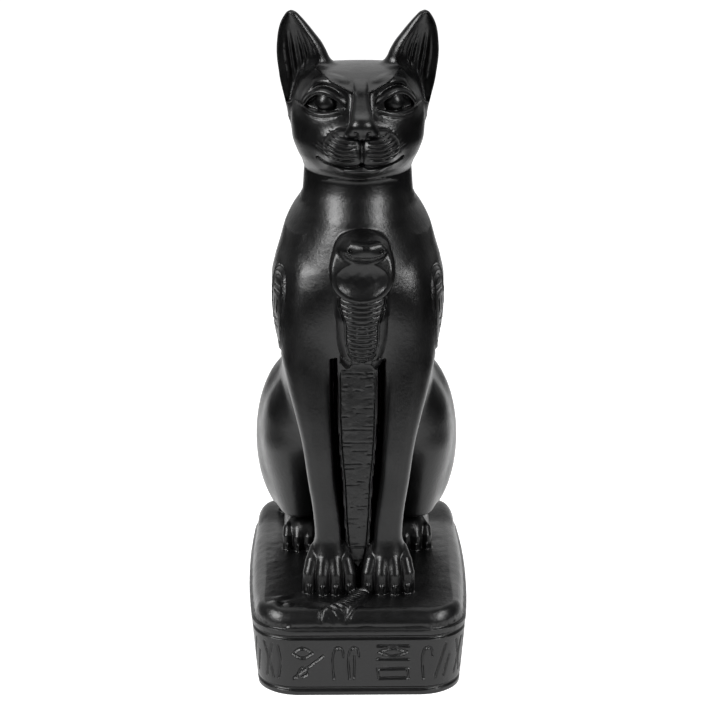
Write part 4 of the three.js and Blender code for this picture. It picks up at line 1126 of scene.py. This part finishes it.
def new_material(name, values):
    """A material with some inputs of its shader set, its tree and the shader."""
    material = bpy.data.materials.new(name)
    material.use_nodes = True
    shader = material.node_tree.nodes["Principled BSDF"]
    for key, value in values.items():
        shader.inputs[key].default_value = value
    return material, material.node_tree, shader


def black_resin():
    """Near-black resin stone: satin, with a fine grain and small pits."""
    material, tree, shader = new_material("black_resin", {"IOR": 1.5, "Specular IOR Level": 0.4})
    place = add_node(tree, "ShaderNodeTexCoord", {}, {}).outputs["Object"]

    def grain(scale, detail, roughness=0.5):
        values = {"Scale": scale, "Detail": detail, "Roughness": roughness}
        return add_node(tree, "ShaderNodeTexNoise", values, {"Vector": place}).outputs["Fac"]

    def ramp(source, *colours):
        node = add_node(tree, "ShaderNodeValToRGB", {}, {"Fac": source})
        for element, position, colour in zip(node.color_ramp.elements, (0.3, 0.7), colours):
            element.position = position
            element.color = (*colour, 1)
        return node.outputs["Color"]

    def pits(source, strength, distance, under):
        values = {"Strength": strength, "Distance": distance}
        return add_node(tree, "ShaderNodeBump", values, {"Height": source, **under}).outputs["Normal"]

    tone = ramp(grain(55, 4), (0.0016, 0.0016, 0.0017), (0.003, 0.003, 0.0032))
    gloss = ramp(grain(180, 5, 0.6), (0.29, 0.29, 0.29), (0.36, 0.36, 0.36))
    fine = pits(grain(2400, 3), 0.16, 0.0002, {})
    coarse = pits(grain(700, 4), 0.2, 0.0004, {"Normal": fine})
    for name, source in (("Base Color", tone), ("Roughness", gloss), ("Normal", coarse)):
        tree.links.new(source, shader.inputs[name])
    return material


# The figure mirrors a lit sheet that ends this far in front and to the sides.
SHEET_FRONT = -0.43
SHEET_SIDE = 0.3
SHEET_FLARE = 0.14
SHEET_FADE = 0.3
SHEET_HEIGHT = -0.0005
ROOM = 6.0
FLOOR_TONE = 0.5
FLOOR_GLOW = 0.92


def white(name):
    """A matt white material with a light of its own."""
    values = {
        "Base Color": (FLOOR_TONE, FLOOR_TONE, FLOOR_TONE, 1),
        "Roughness": 0.7,
        "Specular IOR Level": 0,
        "Emission Color": (1, 1, 1, 1),
        "Emission Strength": FLOOR_GLOW,
    }
    return new_material(name, values)


def white_sheet():
    """The white material fading to black in front and at the sides."""
    material, tree, shader = white("studio_sheet")
    place = add_node(tree, "ShaderNodeTexCoord", {}, {})
    parts = add_node(tree, "ShaderNodeSeparateXYZ", {}, {0: place.outputs["Object"]}).outputs

    def reckon(operation, values, sources):
        node = add_node(tree, "ShaderNodeMath", values, sources)
        node.operation = operation
        return node.outputs[0]

    def fade(source, low, high):
        node = add_node(tree, "ShaderNodeMapRange", {"From Min": low, "From Max": high}, {"Value": source})
        node.interpolation_type = "SMOOTHSTEP"
        return node.outputs["Result"]

    half = SHEET_FADE / 2
    across = reckon("ABSOLUTE", {}, {0: parts["X"]})
    side = reckon("MULTIPLY_ADD", {1: -SHEET_FLARE}, {0: parts["Y"], 2: across})
    ahead = fade(parts["Y"], SHEET_FRONT - half, SHEET_FRONT + half)
    beside = fade(side, SHEET_SIDE + half, SHEET_SIDE - half)
    lit = reckon("MULTIPLY", {}, {0: ahead, 1: beside})
    for name, full in (("Base Color", FLOOR_TONE), ("Emission Strength", FLOOR_GLOW)):
        tree.links.new(reckon("MULTIPLY", {1: full}, {0: lit}), shader.inputs[name])
    return material


# The sky is dark in front and bright behind the figure: (share of the way to this side, tone).
SKY = 0.95
SKY_SIDE = (0, 0.94, 0.34)
SKY_TONES = [(0.5, 0.0), (0.67, 0.12), (0.85, 0.42), (0.96, 1.0)]
# Each softbox: its name, its place, what it aims at, its size in metres and its power in watts.
SOFTBOXES = [
    ("overhead", (0, 0.18, 0.86), (0, 0.18, 0), (0.6, 0.6), 1.7),
    ("key_left", (-0.95, -0.7, 0.84), (0, 0, 0.2), (0.5, 0.8), 24),
    ("key_right", (0.88, -0.84, 0.82), (0, 0, 0.2), (0.32, 0.8), 15),
]


def softbox(name, place, aim, size, power):
    data = bpy.data.lights.new(name, "AREA")
    data.shape = "RECTANGLE"
    data.size, data.size_y = size
    data.energy = power
    light = new_object(name, data)
    light.location = place
    light.rotation_euler = (Vector(aim) - Vector(place)).to_track_quat("-Z", "Y").to_euler()


def room(name, material, height, walls):
    """A square floor at a height, with walls round it or none."""
    corners = [(-ROOM, -ROOM), (ROOM, -ROOM), (ROOM, ROOM), (-ROOM, ROOM)]
    points = [(x, y, height) for x, y in corners] + [(x, y, ROOM) for x, y in corners]
    faces = [(0, 1, 2, 3)]
    if walls:
        faces += [(k, (k + 1) % 4, (k + 1) % 4 + 4, k + 4) for k in range(4)]
    data = bpy.data.meshes.new(name)
    data.from_pydata(points if walls else points[:4], [], faces)
    data.materials.append(material)
    thing = new_object(name, data)
    return thing


def studio():
    """A white room, a sheet for the figure to mirror, two softboxes in front and one overhead."""
    seen = room("studio_floor", white("studio_white")[0], 0, True)
    seen.visible_glossy = seen.visible_diffuse = seen.visible_shadow = False
    mirrored = room("studio_sheet", white_sheet(), SHEET_HEIGHT, False)
    mirrored.visible_camera = False
    world = bpy.context.scene.world or bpy.data.worlds.new("studio")
    bpy.context.scene.world = world
    world.use_nodes = True
    tree = world.node_tree
    place = add_node(tree, "ShaderNodeTexCoord", {}, {})
    toward = add_node(tree, "ShaderNodeVectorMath", {1: SKY_SIDE}, {0: place.outputs["Generated"]})
    toward.operation = "DOT_PRODUCT"
    spread = add_node(tree, "ShaderNodeMapRange", {"From Min": -1}, {"Value": toward.outputs["Value"]})
    ramp = add_node(tree, "ShaderNodeValToRGB", {}, {"Fac": spread.outputs["Result"]})
    elements = ramp.color_ramp.elements
    for position, _ in SKY_TONES[1:-1]:
        elements.new(position)
    for element, (position, tone) in zip(elements, SKY_TONES):
        element.position = position
        element.color = (tone, tone, tone, 1)
    background = tree.nodes["Background"]
    background.inputs["Strength"].default_value = SKY
    tree.links.new(ramp.outputs["Color"], background.inputs["Color"])
    for name, place, aim, size, power in SOFTBOXES:
        softbox(name, place, aim, size, power)


# The camera stands 1070 mm from the aim point, 17 degrees above it, a little round to the cat's left.
CAMERA_AIM = Vector((0, 0, 0.135))
CAMERA_DISTANCE = 1.07
CAMERA_PITCH = math.radians(17)
CAMERA_AZIMUTH = math.radians(-0.75)
FOCAL_PIXELS = 2317.0
PICTURE = 720
MIDDLE_COLUMN = 357.3
SENSOR = 36


def camera():
    data = bpy.data.cameras.new("camera")
    view = new_object("camera", data)
    data.sensor_width = SENSOR
    data.lens = SENSOR * FOCAL_PIXELS / PICTURE
    data.shift_x = (PICTURE / 2 - MIDDLE_COLUMN) / PICTURE
    level = math.cos(CAMERA_PITCH)
    right, ahead = math.sin(CAMERA_AZIMUTH), math.cos(CAMERA_AZIMUTH)
    back = Vector((right * level, -ahead * level, math.sin(CAMERA_PITCH)))
    view.location = CAMERA_AIM + back * CAMERA_DISTANCE
    view.rotation_euler = (-back).to_track_quat("-Z", "Y").to_euler()
    bpy.context.scene.camera = view


camera()
studio()
points, faces = main_part(*draw_off(*sample()))
points[np.abs(points[:, 2]) < 0.1, 2] = 0
figure = mesh_from("cat_figure", points, faces)
lighten(figure, TRIANGLES)
smooth(figure)
figure.data.materials.append(black_resin())
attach(figure, "root")
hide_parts("bastet_cat")
bpy.context.scene.view_settings.view_transform = "Standard"
